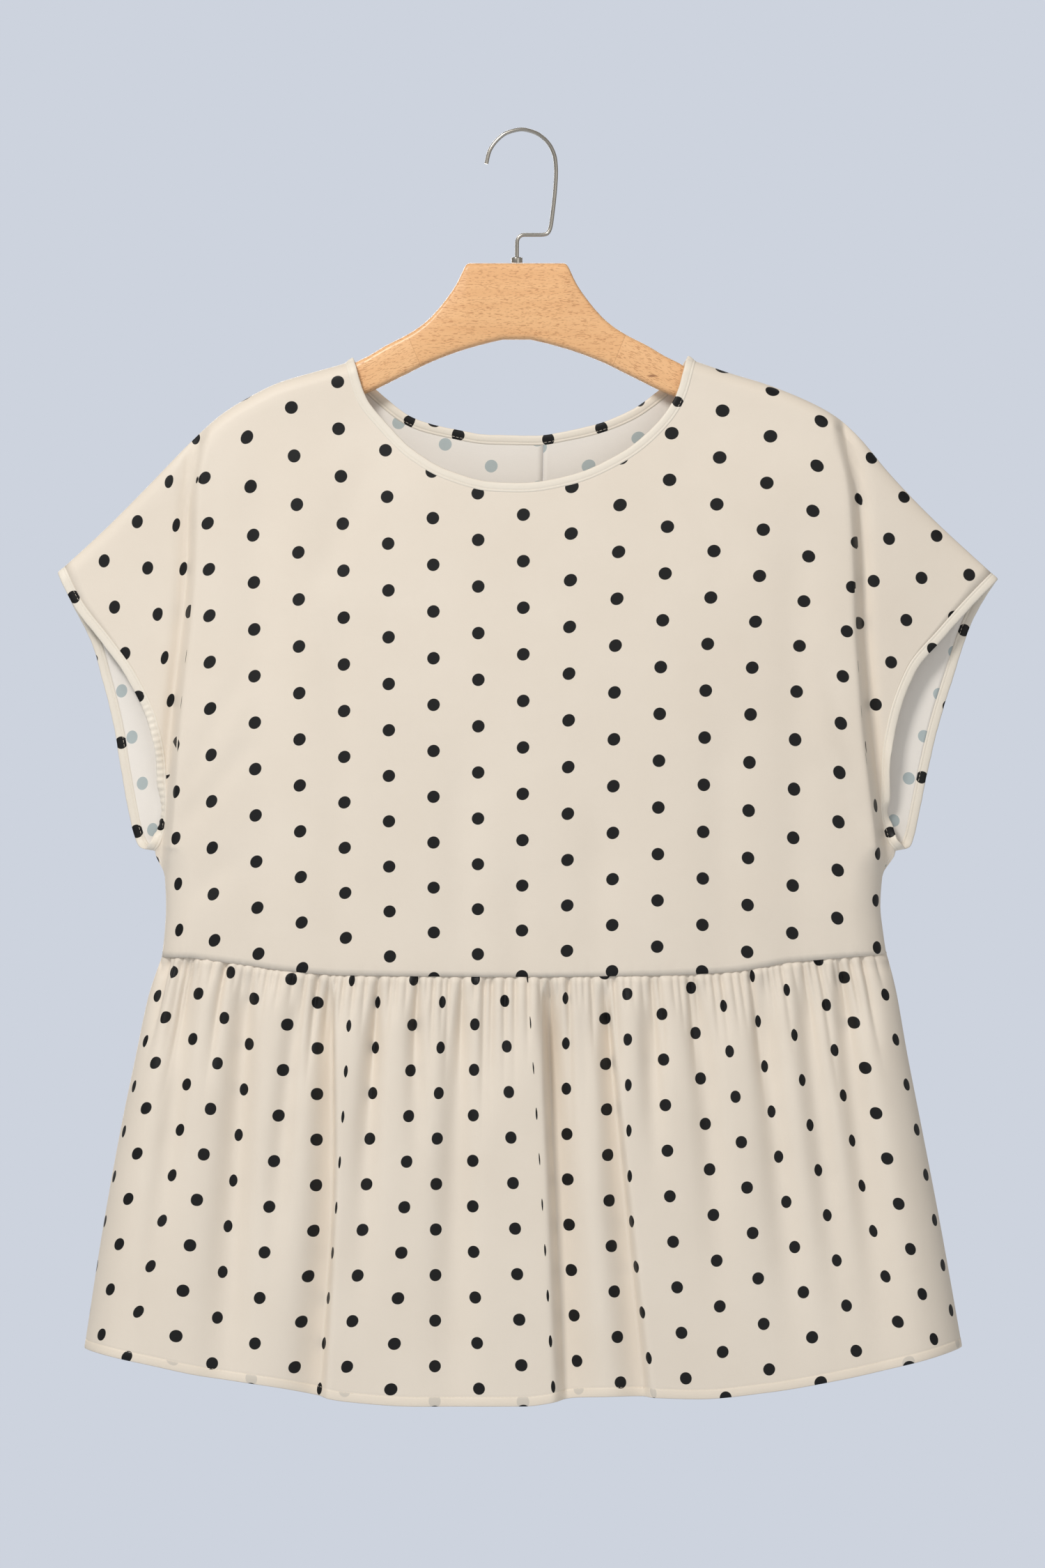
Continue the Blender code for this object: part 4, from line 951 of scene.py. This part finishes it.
def binding_piece(name, stations, dots, puckers=None):
    """A closed ring of folded binding, with its own print place for the satin."""
    mesh = bpy.data.meshes.new(name)
    places, marks, faces = [], [], []
    count = len(BINDING_SECTION)
    runs = runs_along([point for point, _, _ in stations])
    keys, along, rows = binding_print(stations, runs, dots)
    for run, (point, normal, away) in zip(runs, stations):
        printed, row = between(keys, along, run), between(keys, rows, run)
        ripple = puckers(point) * sin(run * 2 * pi / PUCKER_PITCH) if puckers else 0.0
        slow = 0.08 * sin(run * 0.21) + 0.05 * sin(run * 0.57 + 1)
        for out, up in BINDING_SECTION:
            lift = ripple * smooth(out, -0.5, 2.5) * (1 if up > BINDING_FOLD else 0.4)
            body = smooth(out, 0.5, 3.5)
            place = point + away * (out + body * (slow + 0.25 * ripple)) + normal * (up + lift)
            places.append(place * MM)
            marks.append((printed, (out if up > BINDING_FOLD else BINDING_AROUND - out) - row))
    total = len(stations)
    for n in range(total):
        for k in range(count):
            a, b = n * count + k, n * count + (k + 1) % count
            c, d = (n + 1) % total * count + (k + 1) % count, (n + 1) % total * count + k
            faces.append((a, b, c, d))
    mesh.from_pydata(places, [], faces)
    layer = mesh.uv_layers.new(name="print")
    for polygon in mesh.polygons:
        closing = polygon.index >= (total - 1) * count
        for loop_index in polygon.loop_indices:
            vertex = mesh.loops[loop_index].vertex_index
            u, v = marks[vertex]
            if closing and vertex < count:
                u = marks[-1][0] + 0.5
            layer.data[loop_index].uv = (u * MM, v * MM)
    maker = bmesh.new()
    maker.from_mesh(mesh)
    bmesh.ops.recalc_face_normals(maker, faces=maker.faces[:])
    maker.to_mesh(mesh)
    maker.free()
    mesh.shade_smooth()
    return linked(name, mesh, BOUND_SATIN)


def stitches(name, lines):
    """Sewing thread along lines of (place, outward direction), as short rounded stitches."""
    mesh = bpy.data.meshes.new(name)
    places, faces = [], []
    sides = STITCH_SIDES
    for line in lines:
        runs = runs_along([point for point, _ in line])
        count = int(runs[-1] / STITCH_PITCH)
        for n in range(count):
            ends = []
            for run in (n * STITCH_PITCH + STITCH_START, n * STITCH_PITCH + STITCH_START + STITCH_LENGTH):
                i, t = step_at(runs, run)
                ends.append([line[i][k].lerp(line[i + 1][k], t) for k in range(2)])
            (start, up), (end, _) = ends
            way = (end - start).normalized()
            up = (up - way * up.dot(way)).normalized()
            across = way.cross(up)
            first = len(places)
            places.append((start - up * STITCH_THICK) * MM)
            for share in (0.16, 0.84):
                middle = start.lerp(end, share) - up * STITCH_SINK
                for k in range(sides):
                    angle = 2 * pi * k / sides
                    spoke = across * cos(angle) * STITCH_BROAD + up * sin(angle)
                    places.append((middle + spoke * STITCH_THICK) * MM)
            places.append((end - up * STITCH_THICK) * MM)
            for k in range(sides):
                a, b = first + 1 + k, first + 1 + (k + 1) % sides
                faces += [(first, b, a), (a, b, b + sides, a + sides),
                          (first + 1 + 2 * sides, a + sides, b + sides)]
    mesh.from_pydata(places, [], faces)
    mesh.shade_smooth()
    return linked(name, mesh, THREAD)


def binding_stitch_lines(stations):
    ring = stations + stations[:1]
    return [[(point + away * STITCH_OUT + normal * up, normal * (1 if up > BINDING_FOLD else -1))
             for point, normal, away in ring] for up in STITCH_UP.values()]


def hem_stitch_line(rows, face):
    """The row of places on the hem's stitch line, with its outward directions."""
    index = len(PEPLUM_ROWS) + HEM_ROWS.index(HEM_STITCH)
    normals = skin_normals(rows, face)
    return [[(point + normal * 0.1, normal) for point, normal in zip(rows[index], normals[index])]]


def finished(thing, name, finish):
    thing.name = name
    thing.data.name = name
    thing.data.materials.clear()
    thing.data.materials.append(finish)
    return thing


def choose(thing, test):
    """Selects the vertices that pass a test, and what lies wholly between them."""
    maker = bmesh.from_edit_mesh(thing.data)
    for part in [*maker.faces, *maker.edges]:
        part.select = False
    for vertex in maker.verts:
        vertex.select = test(vertex.co)
    maker.select_flush(True)
    bmesh.update_edit_mesh(thing.data)


def hanger_body(finish):
    """A block at the middle, rounded, then drawn out along both arms."""
    first = HANGER_STATIONS[0]
    top, foot = HANGER_TOP.at("z", 0), HANGER_FOOT.at("z", 0)
    bpy.ops.object.select_all(action="DESELECT")
    bpy.ops.mesh.primitive_cube_add(size=1, location=(HANGER_X * MM, 0, (top + foot) / 2 * MM),
                                    scale=(2 * first * MM, 2 * HANGER_HALF_THICK * MM, (top - foot) * MM))
    thing = bpy.context.object
    bpy.ops.object.transform_apply(location=True, rotation=True, scale=True)
    bpy.ops.object.mode_set(mode="EDIT")
    bpy.ops.mesh.select_mode(type="EDGE")
    maker = bmesh.from_edit_mesh(thing.data)
    for face in maker.faces:
        face.select = False
    for edge in maker.edges:
        edge.select = abs(edge.verts[0].co.x - edge.verts[1].co.x) > first * MM
    bmesh.update_edit_mesh(thing.data)
    bpy.ops.mesh.bevel(offset=HANGER_CORNER * MM, segments=4, affect="EDGES", clamp_overlap=False)
    bpy.ops.mesh.select_mode(type="VERT")
    for sign in (1, -1):
        edge_x = (HANGER_X + sign * first) * MM
        was_top, was_foot, was_out = top, foot, first
        choose(thing, lambda at: abs(at.x - edge_x) < NEAR)
        for out in HANGER_STATIONS[1:]:
            bpy.ops.mesh.extrude_region_move(
                TRANSFORM_OT_translate={"value": (sign * (out - was_out) * MM, 0, 0)})
            at_x = (HANGER_X + sign * out) * MM
            middle = (was_top + was_foot) / 2 * MM
            now_top, now_foot = HANGER_TOP.at("z", out), HANGER_FOOT.at("z", out)
            for upper, rise in ((True, now_top - was_top), (False, now_foot - was_foot)):
                choose(thing, lambda at: abs(at.x - at_x) < NEAR and (at.z > middle) == upper)
                bpy.ops.transform.translate(value=(0, 0, rise * MM))
            choose(thing, lambda at: abs(at.x - at_x) < NEAR)
            was_top, was_foot, was_out = now_top, now_foot, out
        for reach, shrink in HANGER_END:
            bpy.ops.mesh.extrude_region_move(TRANSFORM_OT_translate={"value": (sign * reach * MM, 0, 0)})
            centre = ((HANGER_X + sign * was_out) * MM, 0, (was_top + was_foot) / 2 * MM)
            bpy.ops.transform.resize(value=(1, shrink, shrink), center_override=centre)
    bpy.ops.object.mode_set(mode="OBJECT")
    bpy.ops.object.shade_smooth_by_angle(angle=radians(40))
    return finished(thing, "hanger_arms_beech", finish)


def hook_wire(finish):
    """The bent wire along its route, turned into a mesh."""
    curve = bpy.data.curves.new("hook_wire", "CURVE")
    curve.dimensions = "3D"
    curve.bevel_depth = WIRE_RADIUS * MM
    curve.bevel_resolution = 6
    curve.use_fill_caps = True
    spline = curve.splines.new("POLY")
    route = Edge(HOOK_ROUTE)
    spline.points.add(WIRE_STEPS)
    for n in range(WIRE_STEPS + 1):
        x, z = route.at(n / WIRE_STEPS)
        spline.points[n].co = (x * MM, 0, z * MM, 1)
    spline.use_smooth = True
    alone(linked("hook_wire", curve))
    bpy.ops.object.convert(target="MESH")
    thing = bpy.context.object
    bpy.ops.object.shade_smooth_by_angle(angle=radians(50))
    return finished(thing, "hanger_hook_wire", finish)


def ferrule_collar(finish):
    """A turned collar with a rounded rim, a groove and a hole for the wire."""
    bpy.ops.object.select_all(action="DESELECT")
    centre_z = FERRULE_TOP_Z - FERRULE_HEIGHT / 2
    bpy.ops.mesh.primitive_cylinder_add(vertices=40, radius=FERRULE_RADIUS * MM, depth=FERRULE_HEIGHT * MM,
                                        location=(SHANK_X * MM, 0, centre_z * MM))
    thing = bpy.context.object
    bpy.ops.object.transform_apply(location=True, rotation=True, scale=True)
    bpy.ops.object.mode_set(mode="EDIT")
    bpy.ops.mesh.select_mode(type="FACE")
    maker = bmesh.from_edit_mesh(thing.data)
    for face in maker.faces:
        face.select = face.normal.z > 0.9
    bmesh.update_edit_mesh(thing.data)
    bpy.ops.mesh.inset(thickness=0.45 * MM, depth=0.0)
    bpy.ops.transform.translate(value=(0, 0, 0.3 * MM))
    bpy.ops.mesh.inset(thickness=1.35 * MM, depth=0.0)
    bpy.ops.mesh.extrude_region_move(TRANSFORM_OT_translate={"value": (0, 0, -1.2 * MM)})
    bpy.ops.object.mode_set(mode="OBJECT")
    rim = thing.modifiers.new("rim", "BEVEL")
    rim.width = 0.25 * MM
    rim.segments = 3
    rim.limit_method = "ANGLE"
    rim.angle_limit = radians(35)
    apply_modifiers(thing)
    thing.select_set(True)
    bpy.ops.object.shade_smooth_by_angle(angle=radians(40))
    return finished(thing, "hanger_ferrule_collar", finish)


def tone(red, green, blue):
    """A colour given as on a screen, 0 to 255, in the shader's own numbers."""
    def linear(part):
        part /= 255
        return part / 12.92 if part <= 0.04045 else ((part + 0.055) / 1.055) ** 2.4
    return (linear(red), linear(green), linear(blue), 1)


class Nodes:
    """A shader's nodes, made by short calls that give back their outputs."""

    def __init__(self, tree):
        self.tree = tree

    def send(self, value, socket):
        self.tree.links.new(value, socket)

    def make(self, kind, values=None, **settings):
        """One node with its settings, and its inputs as plain values or as other nodes' outputs."""
        made = self.tree.nodes.new("ShaderNode" + kind)
        for name, setting in settings.items():
            setattr(made, name, setting)
        for key, value in (values or {}).items():
            if isinstance(value, bpy.types.NodeSocket):
                self.send(value, made.inputs[key])
            else:
                made.inputs[key].default_value = value
        return made.outputs

    def math(self, operation, *values):
        return self.make("Math", dict(enumerate(values)), operation=operation)[0]

    def times(self, first, second):
        return self.math("MULTIPLY", first, second)

    def plus(self, first, second):
        return self.math("ADD", first, second)

    def minus(self, first, second):
        return self.math("SUBTRACT", first, second)

    def vector(self, operation, *values, **named):
        return self.make("VectorMath", {**dict(enumerate(values)), **named}, operation=operation)

    def point(self, **parts):
        return self.make("CombineXYZ", parts)[0]

    def parts(self, place):
        return self.make("SeparateXYZ", {0: place})

    def body(self):
        return self.make("TexCoord")["Object"]

    def noise(self, place, scale, detail, **more):
        return self.make("TexNoise", {"Vector": place, "Scale": scale, "Detail": detail, **more})["Fac"]

    def ramp(self, value, low, high, **settings):
        """Runs from 0 where the value is low to 1 where it is high."""
        return self.make("MapRange", {"Value": value, "From Min": low, "From Max": high}, **settings)[0]

    def mix(self, share, first, second, **settings):
        return self.make("Mix", {0: share, 6: first, 7: second}, data_type="RGBA", **settings)[2]

    def group(self, tree, **values):
        return self.make("Group", values, node_tree=tree)


def effect(name, inputs, outputs):
    """An empty shader group. An input without a default is a place, and the rest are numbers."""
    tree = bpy.data.node_groups.new(name, "ShaderNodeTree")
    for label, default in inputs.items():
        kind = "NodeSocketVector" if default is None else "NodeSocketFloat"
        socket = tree.interface.new_socket(name=label, in_out="INPUT", socket_type=kind)
        if default is not None:
            socket.default_value = default
    for label in outputs:
        tree.interface.new_socket(name=label, in_out="OUTPUT", socket_type="NodeSocketFloat")
    return Nodes(tree), tree.nodes.new("NodeGroupInput").outputs, tree.nodes.new("NodeGroupOutput").inputs


def dot_effect():
    """Round dots in a half-drop repeat, as a mask."""
    nodes, given, result = effect("half_drop_dots", {
        "Place": None, "Across": DOT_ACROSS * MM, "Down": DOT_DOWN * MM, "Radius": DOT_RADIUS * MM,
        "Soft": DOT_SOFT * MM}, ["Mask"])
    half = {"X": nodes.times(given["Across"], 0.5), "Y": nodes.times(given["Down"], 0.5)}
    high, shift = nodes.point(**half, Z=1.0), nodes.point(**half)
    low = nodes.vector("SCALE", high, Scale=-1.0)[0]
    distances = []
    for place in (given["Place"], nodes.vector("ADD", given["Place"], shift)[0]):
        wrapped = nodes.vector("WRAP", place, high, low)[0]
        distances.append(nodes.vector("LENGTH", wrapped)["Value"])
    nearest = nodes.math("MINIMUM", *distances)
    inner = nodes.minus(given["Radius"], given["Soft"])
    outer = nodes.plus(given["Radius"], given["Soft"])
    nodes.send(nodes.ramp(nearest, outer, inner, interpolation_type="SMOOTHSTEP"), result["Mask"])
    return nodes.tree


def weave_effect():
    """Fine weave with uneven threads and soft crumples: a height, and a tone round 1."""
    nodes, given, result = effect("satin_weave", {"Place": None, "Pitch": WEAVE_PITCH * MM, "Body": None},
                                  ["Height", "Tone"])
    turn = nodes.math("DIVIDE", 2 * pi, given["Pitch"])
    scaled = nodes.parts(nodes.vector("SCALE", given["Place"], Scale=turn)[0])
    threads = nodes.plus(nodes.math("SINE", scaled[0]), nodes.math("SINE", scaled[1]))
    slub = nodes.noise(given["Place"], 900.0, 2.0)
    crumple = nodes.noise(given["Body"], 55.0, 3.0, Roughness=0.45)
    height = nodes.plus(nodes.times(threads, 0.02), nodes.times(slub, 0.12))
    nodes.send(nodes.plus(height, crumple), result["Height"])
    broad = nodes.noise(given["Body"], 9.0, 2.0)
    shade = nodes.plus(nodes.times(slub, 0.035), nodes.times(broad, 0.05))
    nodes.send(nodes.plus(shade, 0.955), result["Tone"])
    return nodes.tree


def grain_effect():
    """Beech: soft growth lines and short dark flecks along X, as two masks, and their height."""
    nodes, given, result = effect("beech_grain", {"Place": None}, ["Grain", "Fleck", "Height"])
    drawn_out = nodes.vector("MULTIPLY", given["Place"], (9.0, 40.0, 130.0))[0]
    lines = nodes.noise(drawn_out, 1.0, 5.0, Roughness=0.55, Distortion=0.3)
    short = nodes.vector("MULTIPLY", given["Place"], (330.0, 400.0, 1900.0))[0]
    fleck = nodes.ramp(nodes.noise(short, 1.0, 1.0), 0.56, 0.67)
    nodes.send(lines, result["Grain"])
    nodes.send(fleck, result["Fleck"])
    nodes.send(nodes.minus(lines, nodes.times(fleck, 0.6)), result["Height"])
    return nodes.tree


def blank(name, roughness, **constants):
    """A new finish, its nodes, and the inputs of its shader with the constant ones set."""
    made = bpy.data.materials.new(name)
    made.use_nodes = True
    inputs = made.node_tree.nodes["Principled BSDF"].inputs
    inputs["Roughness"].default_value = roughness
    for key, value in constants.items():
        inputs[key.replace("_", " ")].default_value = value
    return made, Nodes(made.node_tree), inputs


def coat(nodes, inputs, colour, rough=None, bump=None):
    """Gives the shader a colour, and a roughness and a bump (strength, depth and height) if there are any."""
    nodes.send(colour, inputs["Base Color"])
    if rough is not None:
        nodes.send(rough, inputs["Roughness"])
    if bump is not None:
        raised = nodes.make("Bump", dict(zip(("Strength", "Distance", "Height"), bump)))
        nodes.send(raised[0], inputs["Normal"])


def satin_finish(name, ground, light, ink, roughness, hemmed=False, bound=False, depth=0.5):
    """Printed satin: cloth tone, dots, weave and a soft sheen."""
    made, nodes, inputs = blank(name, roughness, Sheen_Weight=0.04, Sheen_Roughness=0.5,
                                Specular_IOR_Level=0.3)
    place, body = nodes.make("UVMap", uv_map="print")[0], nodes.body()
    weave = nodes.group(WEAVE, Place=body if bound else place, Body=body)
    colour = nodes.mix(nodes.noise(body, 16.0, 3.0), tone(*ground), tone(*light))
    if hemmed:
        height = nodes.parts(nodes.make("UVMap", uv_map="hem")[0])[0]
        band = nodes.ramp(height, (HEM_STITCH + 0.4) * MM, (HEM_STITCH - 0.1) * MM)
        under = nodes.vector("ADD", place, nodes.point(Y=nodes.times(height, 2.0)))[0]
        ghost = nodes.group(DOTS, Place=under, Soft=HEM_DOT_SOFT * MM)["Mask"]
        colour = nodes.mix(nodes.times(band, 0.35), colour, tone(*HEM_TONE))
        colour = nodes.mix(nodes.times(nodes.times(ghost, band), 0.34), colour, tone(*HEM_DOT_TONE))
    colour = nodes.mix(nodes.group(DOTS, Place=place)["Mask"], colour, tone(*ink))
    grey = nodes.make("CombineColor", {n: weave["Tone"] for n in range(3)})[0]
    colour = nodes.mix(1.0, colour, grey, blend_type="MULTIPLY")
    rough = nodes.plus(nodes.times(weave["Tone"], 0.5), roughness - 0.5)
    coat(nodes, inputs, colour, rough, (depth, 0.35 * MM, weave["Height"]))
    return made


def thread_finish():
    made, nodes, inputs = blank("cream sewing thread", 0.6, Specular_IOR_Level=0.3)
    twist = nodes.noise(nodes.body(), 1400.0, 1.0)
    colour = nodes.mix(twist, tone(214, 200, 180), tone(244, 234, 218))
    coat(nodes, inputs, colour, bump=(0.4, 0.1 * MM, twist))
    return made


def beech_finish():
    """Clear-finished beech: level grain in the middle, and grain along each arm beyond its joint."""
    made, nodes, inputs = blank("clear beech", 0.42, Coat_Weight=0.15, Coat_Roughness=0.3)
    body = nodes.body()
    x, y, z = nodes.parts(body)
    from_middle = nodes.minus(x, HANGER_X * MM)
    out = nodes.math("ABSOLUTE", from_middle)
    away, upward = cos(ARM_SLANT), sin(ARM_SLANT)
    along = nodes.minus(nodes.times(out, away), nodes.times(z, upward))
    along = nodes.plus(along, nodes.times(nodes.math("SIGN", from_middle), ARM_GRAIN_SHIFT))
    square = nodes.plus(nodes.times(out, upward), nodes.times(z, away))
    joint = nodes.plus(nodes.times(z, JOINT_SLOPE), (JOINT_OUT + JOINT_LEVEL * JOINT_SLOPE) * MM)
    past = nodes.minus(out, joint)
    on_arm = nodes.math("GREATER_THAN", past, 0.0)
    place = nodes.make("Mix", {0: on_arm, 4: body, 5: nodes.point(X=along, Y=y, Z=square)},
                       data_type="VECTOR")[1]
    grain = nodes.group(GRAIN, Place=place)
    colour = nodes.mix(nodes.ramp(grain["Grain"], 0.22, 0.78), tone(227, 171, 118), tone(240, 190, 137))
    colour = nodes.mix(nodes.times(on_arm, 0.35), colour, tone(245, 197, 146))
    colour = nodes.mix(nodes.times(grain["Fleck"], 0.62), colour, tone(176, 116, 68))
    line = nodes.ramp(nodes.math("ABSOLUTE", past), 0.32 * MM, 0.08 * MM)
    colour = nodes.mix(nodes.times(line, 0.45), colour, tone(168, 112, 70))
    knot = nodes.make("Mapping", {0: body, "Location": (-KNOT_X * MM, 0, -KNOT_Z * MM)})[0]
    knot = nodes.make("Mapping", {0: knot, "Rotation": (0, KNOT_TURN, 0), "Scale": (0.32, 0.0, 1.0)})[0]
    knot = nodes.ramp(nodes.vector("LENGTH", knot)["Value"], 1.3 * MM, 0.4 * MM)
    colour = nodes.mix(nodes.times(knot, 0.75), colour, tone(120, 66, 40))
    rough = nodes.plus(nodes.times(grain["Fleck"], 0.15), 0.38)
    coat(nodes, inputs, colour, rough, (0.25, 0.12 * MM, grain["Height"]))
    return made


def steel_finish():
    """Brushed steel wire with faint handling marks."""
    made, nodes, inputs = blank("brushed steel", 0.32, Metallic=1.0)
    body = nodes.body()
    fine, broad = nodes.noise(body, 2600.0, 2.0), nodes.noise(body, 60.0, 3.0)
    colour = nodes.mix(broad, tone(166, 161, 152), tone(188, 183, 174))
    coat(nodes, inputs, colour, nodes.plus(nodes.times(fine, 0.06), 0.25), (0.04, 0.05 * MM, fine))
    return made


def floor_finish():
    made, nodes, inputs = blank("pale floor", 0.85)
    broad = nodes.noise(nodes.body(), 1.3, 3.0)
    coat(nodes, inputs, nodes.mix(broad, tone(206, 214, 224), tone(214, 222, 232)))
    return made


def studio():
    """Camera at the photograph's place, a pale floor, and soft lights from the upper left."""
    lens = bpy.data.cameras.new("studio_camera")
    lens.lens = 160
    lens.sensor_width = 36
    camera = linked("studio_camera", lens)
    camera.location = (VIEW_CENTRE[0] * MM, -CAMERA_AWAY, VIEW_CENTRE[1] * MM)
    camera.rotation_euler = (radians(90), 0, 0)
    bpy.context.scene.camera = camera

    bpy.ops.object.select_all(action="DESELECT")
    bpy.ops.mesh.primitive_plane_add(size=5, location=(0, 0, -1.5))
    floor = bpy.context.object
    bpy.ops.object.transform_apply(location=True, rotation=True, scale=True)
    finished(floor, "studio_floor", floor_finish())

    target = Vector((0, 0, -0.5))
    for name, place, size, power, colour in (
            ("key_light", (-1.35, -2.5, 1.75), 0.8, 82, (1.0, 0.985, 0.965)),
            ("fill_light", (1.6, -3.2, -0.2), 2.2, 14, (1.0, 0.97, 0.94)),
            ("back_light", (-0.5, 3.0, 0.3), 2.0, 62, (1.0, 0.98, 0.96))):
        light = bpy.data.lights.new(name, "AREA")
        light.shape = "SQUARE"
        light.size = size
        light.energy = power
        light.color = colour
        lamp = linked(name, light)
        lamp.location = place
        lamp.rotation_euler = (target - Vector(place)).to_track_quat("-Z", "Y").to_euler()

    world = bpy.data.worlds.new("studio_air")
    world.use_nodes = True
    world.node_tree.nodes.clear()
    nodes = Nodes(world.node_tree)
    seen = nodes.make("Background", {"Color": tone(*BACKDROP), "Strength": 1.0})[0]
    felt = nodes.make("Background", {"Color": AIR, "Strength": AIR_STRENGTH})[0]
    ray = nodes.make("LightPath")["Is Camera Ray"]
    nodes.make("OutputWorld", {"Surface": nodes.make("MixShader", {0: ray, 1: felt, 2: seen})[0]})
    bpy.context.scene.world = world
    bpy.context.scene.view_settings.view_transform = "Standard"


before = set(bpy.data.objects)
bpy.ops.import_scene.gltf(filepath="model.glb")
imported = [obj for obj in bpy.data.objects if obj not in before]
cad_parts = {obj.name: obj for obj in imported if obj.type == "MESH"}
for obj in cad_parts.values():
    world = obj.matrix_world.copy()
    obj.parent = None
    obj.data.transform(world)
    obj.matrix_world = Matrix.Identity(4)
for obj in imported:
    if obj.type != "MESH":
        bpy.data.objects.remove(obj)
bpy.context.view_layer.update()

DOTS, WEAVE, GRAIN = dot_effect(), weave_effect(), grain_effect()
SATIN = satin_finish("cream dotted satin", (225, 213, 197), (232, 221, 206), (5, 5, 6), 0.52)
HEMMED_SATIN = satin_finish("cream dotted satin with hem", (225, 213, 197), (232, 221, 206), (5, 5, 6), 0.52,
                            hemmed=True)
WRONG_SIDE = satin_finish("wrong side of the satin", (233, 226, 217), (239, 233, 225), (176, 186, 186), 0.6)
BOUND_SATIN = satin_finish("cream binding", (228, 218, 203), (235, 227, 213), (5, 5, 6), 0.5,
                           bound=True, depth=0.35)
THREAD = thread_finish()

studio()

sides = {(face, side): outer_columns(side, face, foot)
         for face in (FRONT, BACK) for side, foot in (("left", -NECK_FOOT), ("right", NECK_FOOT))}
fine_shares = subdivided(NECK_SHARES, FINE)
front_shares = [share / 2 for share in fine_shares] + [1 - share / 2 for share in fine_shares[-2::-1]]
front_neck = neck_columns(NECK_FRONT, -NECK_FOOT, NECK_FOOT, front_shares)[1:-1]
left_neck = neck_columns(NECK_BACK_LEFT, -NECK_FOOT, BACK_SEAM_FOOT, fine_shares)[1:]
right_neck = neck_columns(NECK_BACK_RIGHT, NECK_FOOT, BACK_SEAM_FOOT, fine_shares)[1:][::-1]
front = bodice_panel(FRONT, sides[FRONT, "left"], sides[FRONT, "right"], front_neck)
back_left = bodice_panel(BACK, sides[BACK, "left"], [], left_neck)
back_right = bodice_panel(BACK, [], sides[BACK, "right"], right_neck)

middle = len(front[0][0]) // 2
last_right = len(back_right[0][0]) - 1
front_left = neck_stations(front, range(NECK_COLUMN, middle + 1))
front_right = neck_stations(front, range(2 * middle - NECK_COLUMN, middle - 1, -1))
rear_left = neck_stations(back_left, range(NECK_COLUMN, len(back_left[0][0])))
rear_right = neck_stations(back_right, range(last_right - NECK_COLUMN, -1, -1))
neck = [join_ends(front_left[0], rear_left[0])] + front_left[1:-1]
neck += [join_ends(front_left[-1], front_right[-1])] + front_right[-2:0:-1]
neck += [join_ends(front_right[0], rear_right[0])] + rear_right[1:-1]
neck += [join_ends(rear_right[-1], rear_left[-1])] + rear_left[-2:0:-1]
neck = eased(neck, 2.5, 3)
neck_strip = binding_piece("neck_binding_strip", neck, BINDING_DOTS["neck"])
neck_thread = stitches("neck_binding_stitching", binding_stitch_lines(neck))
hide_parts("neck_binding")
for piece in (neck_strip, neck_thread):
    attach(piece, "root")


def left_puckers(point):
    """The left front armhole's binding is drawn up by its stitching beside the body."""
    return 0.32 * smooth(point.z, -396, -412) * smooth(point.z, -512, -500) * (point.x > -268)


armhole_strips = {}
for side, back, column, inner in (("left", back_left, 0, 1), ("right", back_right, -1, -2)):
    fore, rear = armhole_stations(front, column, inner), armhole_stations(back, column, inner)
    ring = [join_ends(fore[0], rear[0])] + fore[1:-1] + [join_ends(fore[-1], rear[-1])] + rear[-2:0:-1]
    ring = eased(ring, 1.0, 4)
    strip = binding_piece("armhole_binding_strip_" + side, ring, BINDING_DOTS[side],
                          left_puckers if side == "left" else None)
    thread = stitches("armhole_stitching_" + side, binding_stitch_lines(ring))
    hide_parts("armhole_binding_" + side)
    for piece in (strip, thread):
        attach(piece, "root")
    armhole_strips[side] = [strip, thread]

cut = {"front": (0.70, 0.46), "back": (0.36, 0.46)}
for name, face, panel, size, trims in (
        ("bodice_front", FRONT, front, cut["front"], [neck_strip, neck_thread]),
        ("bodice_back_left", BACK, back_left, cut["back"], armhole_strips["left"]),
        ("bodice_back_right", BACK, back_right, cut["back"], armhole_strips["right"])):
    rows, marks, _ = panel
    cloth = cloth_piece(name + "_satin", rows, marks, face)
    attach(cloth, "root")
    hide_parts(name)

for name, face, seed in (("peplum_front", FRONT, 4), ("peplum_back", BACK, 9)):
    rows, marks, hems = peplum_grid(face, gather_list(seed))
    cloth = cloth_piece(name + "_satin", rows, marks, face, hems)
    thread = stitches(name.replace("peplum", "hem_stitching"), hem_stitch_line(rows, face))
    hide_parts(name)
    for piece in (cloth, thread):
        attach(piece, "root")

arms = hanger_body(beech_finish())
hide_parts("hanger_arms")
steel = steel_finish()
wire, collar = hook_wire(steel), ferrule_collar(steel)
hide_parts("hanger_hook")
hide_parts("hanger_ferrule")
for piece in (arms, wire, collar):
    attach(piece, "root")
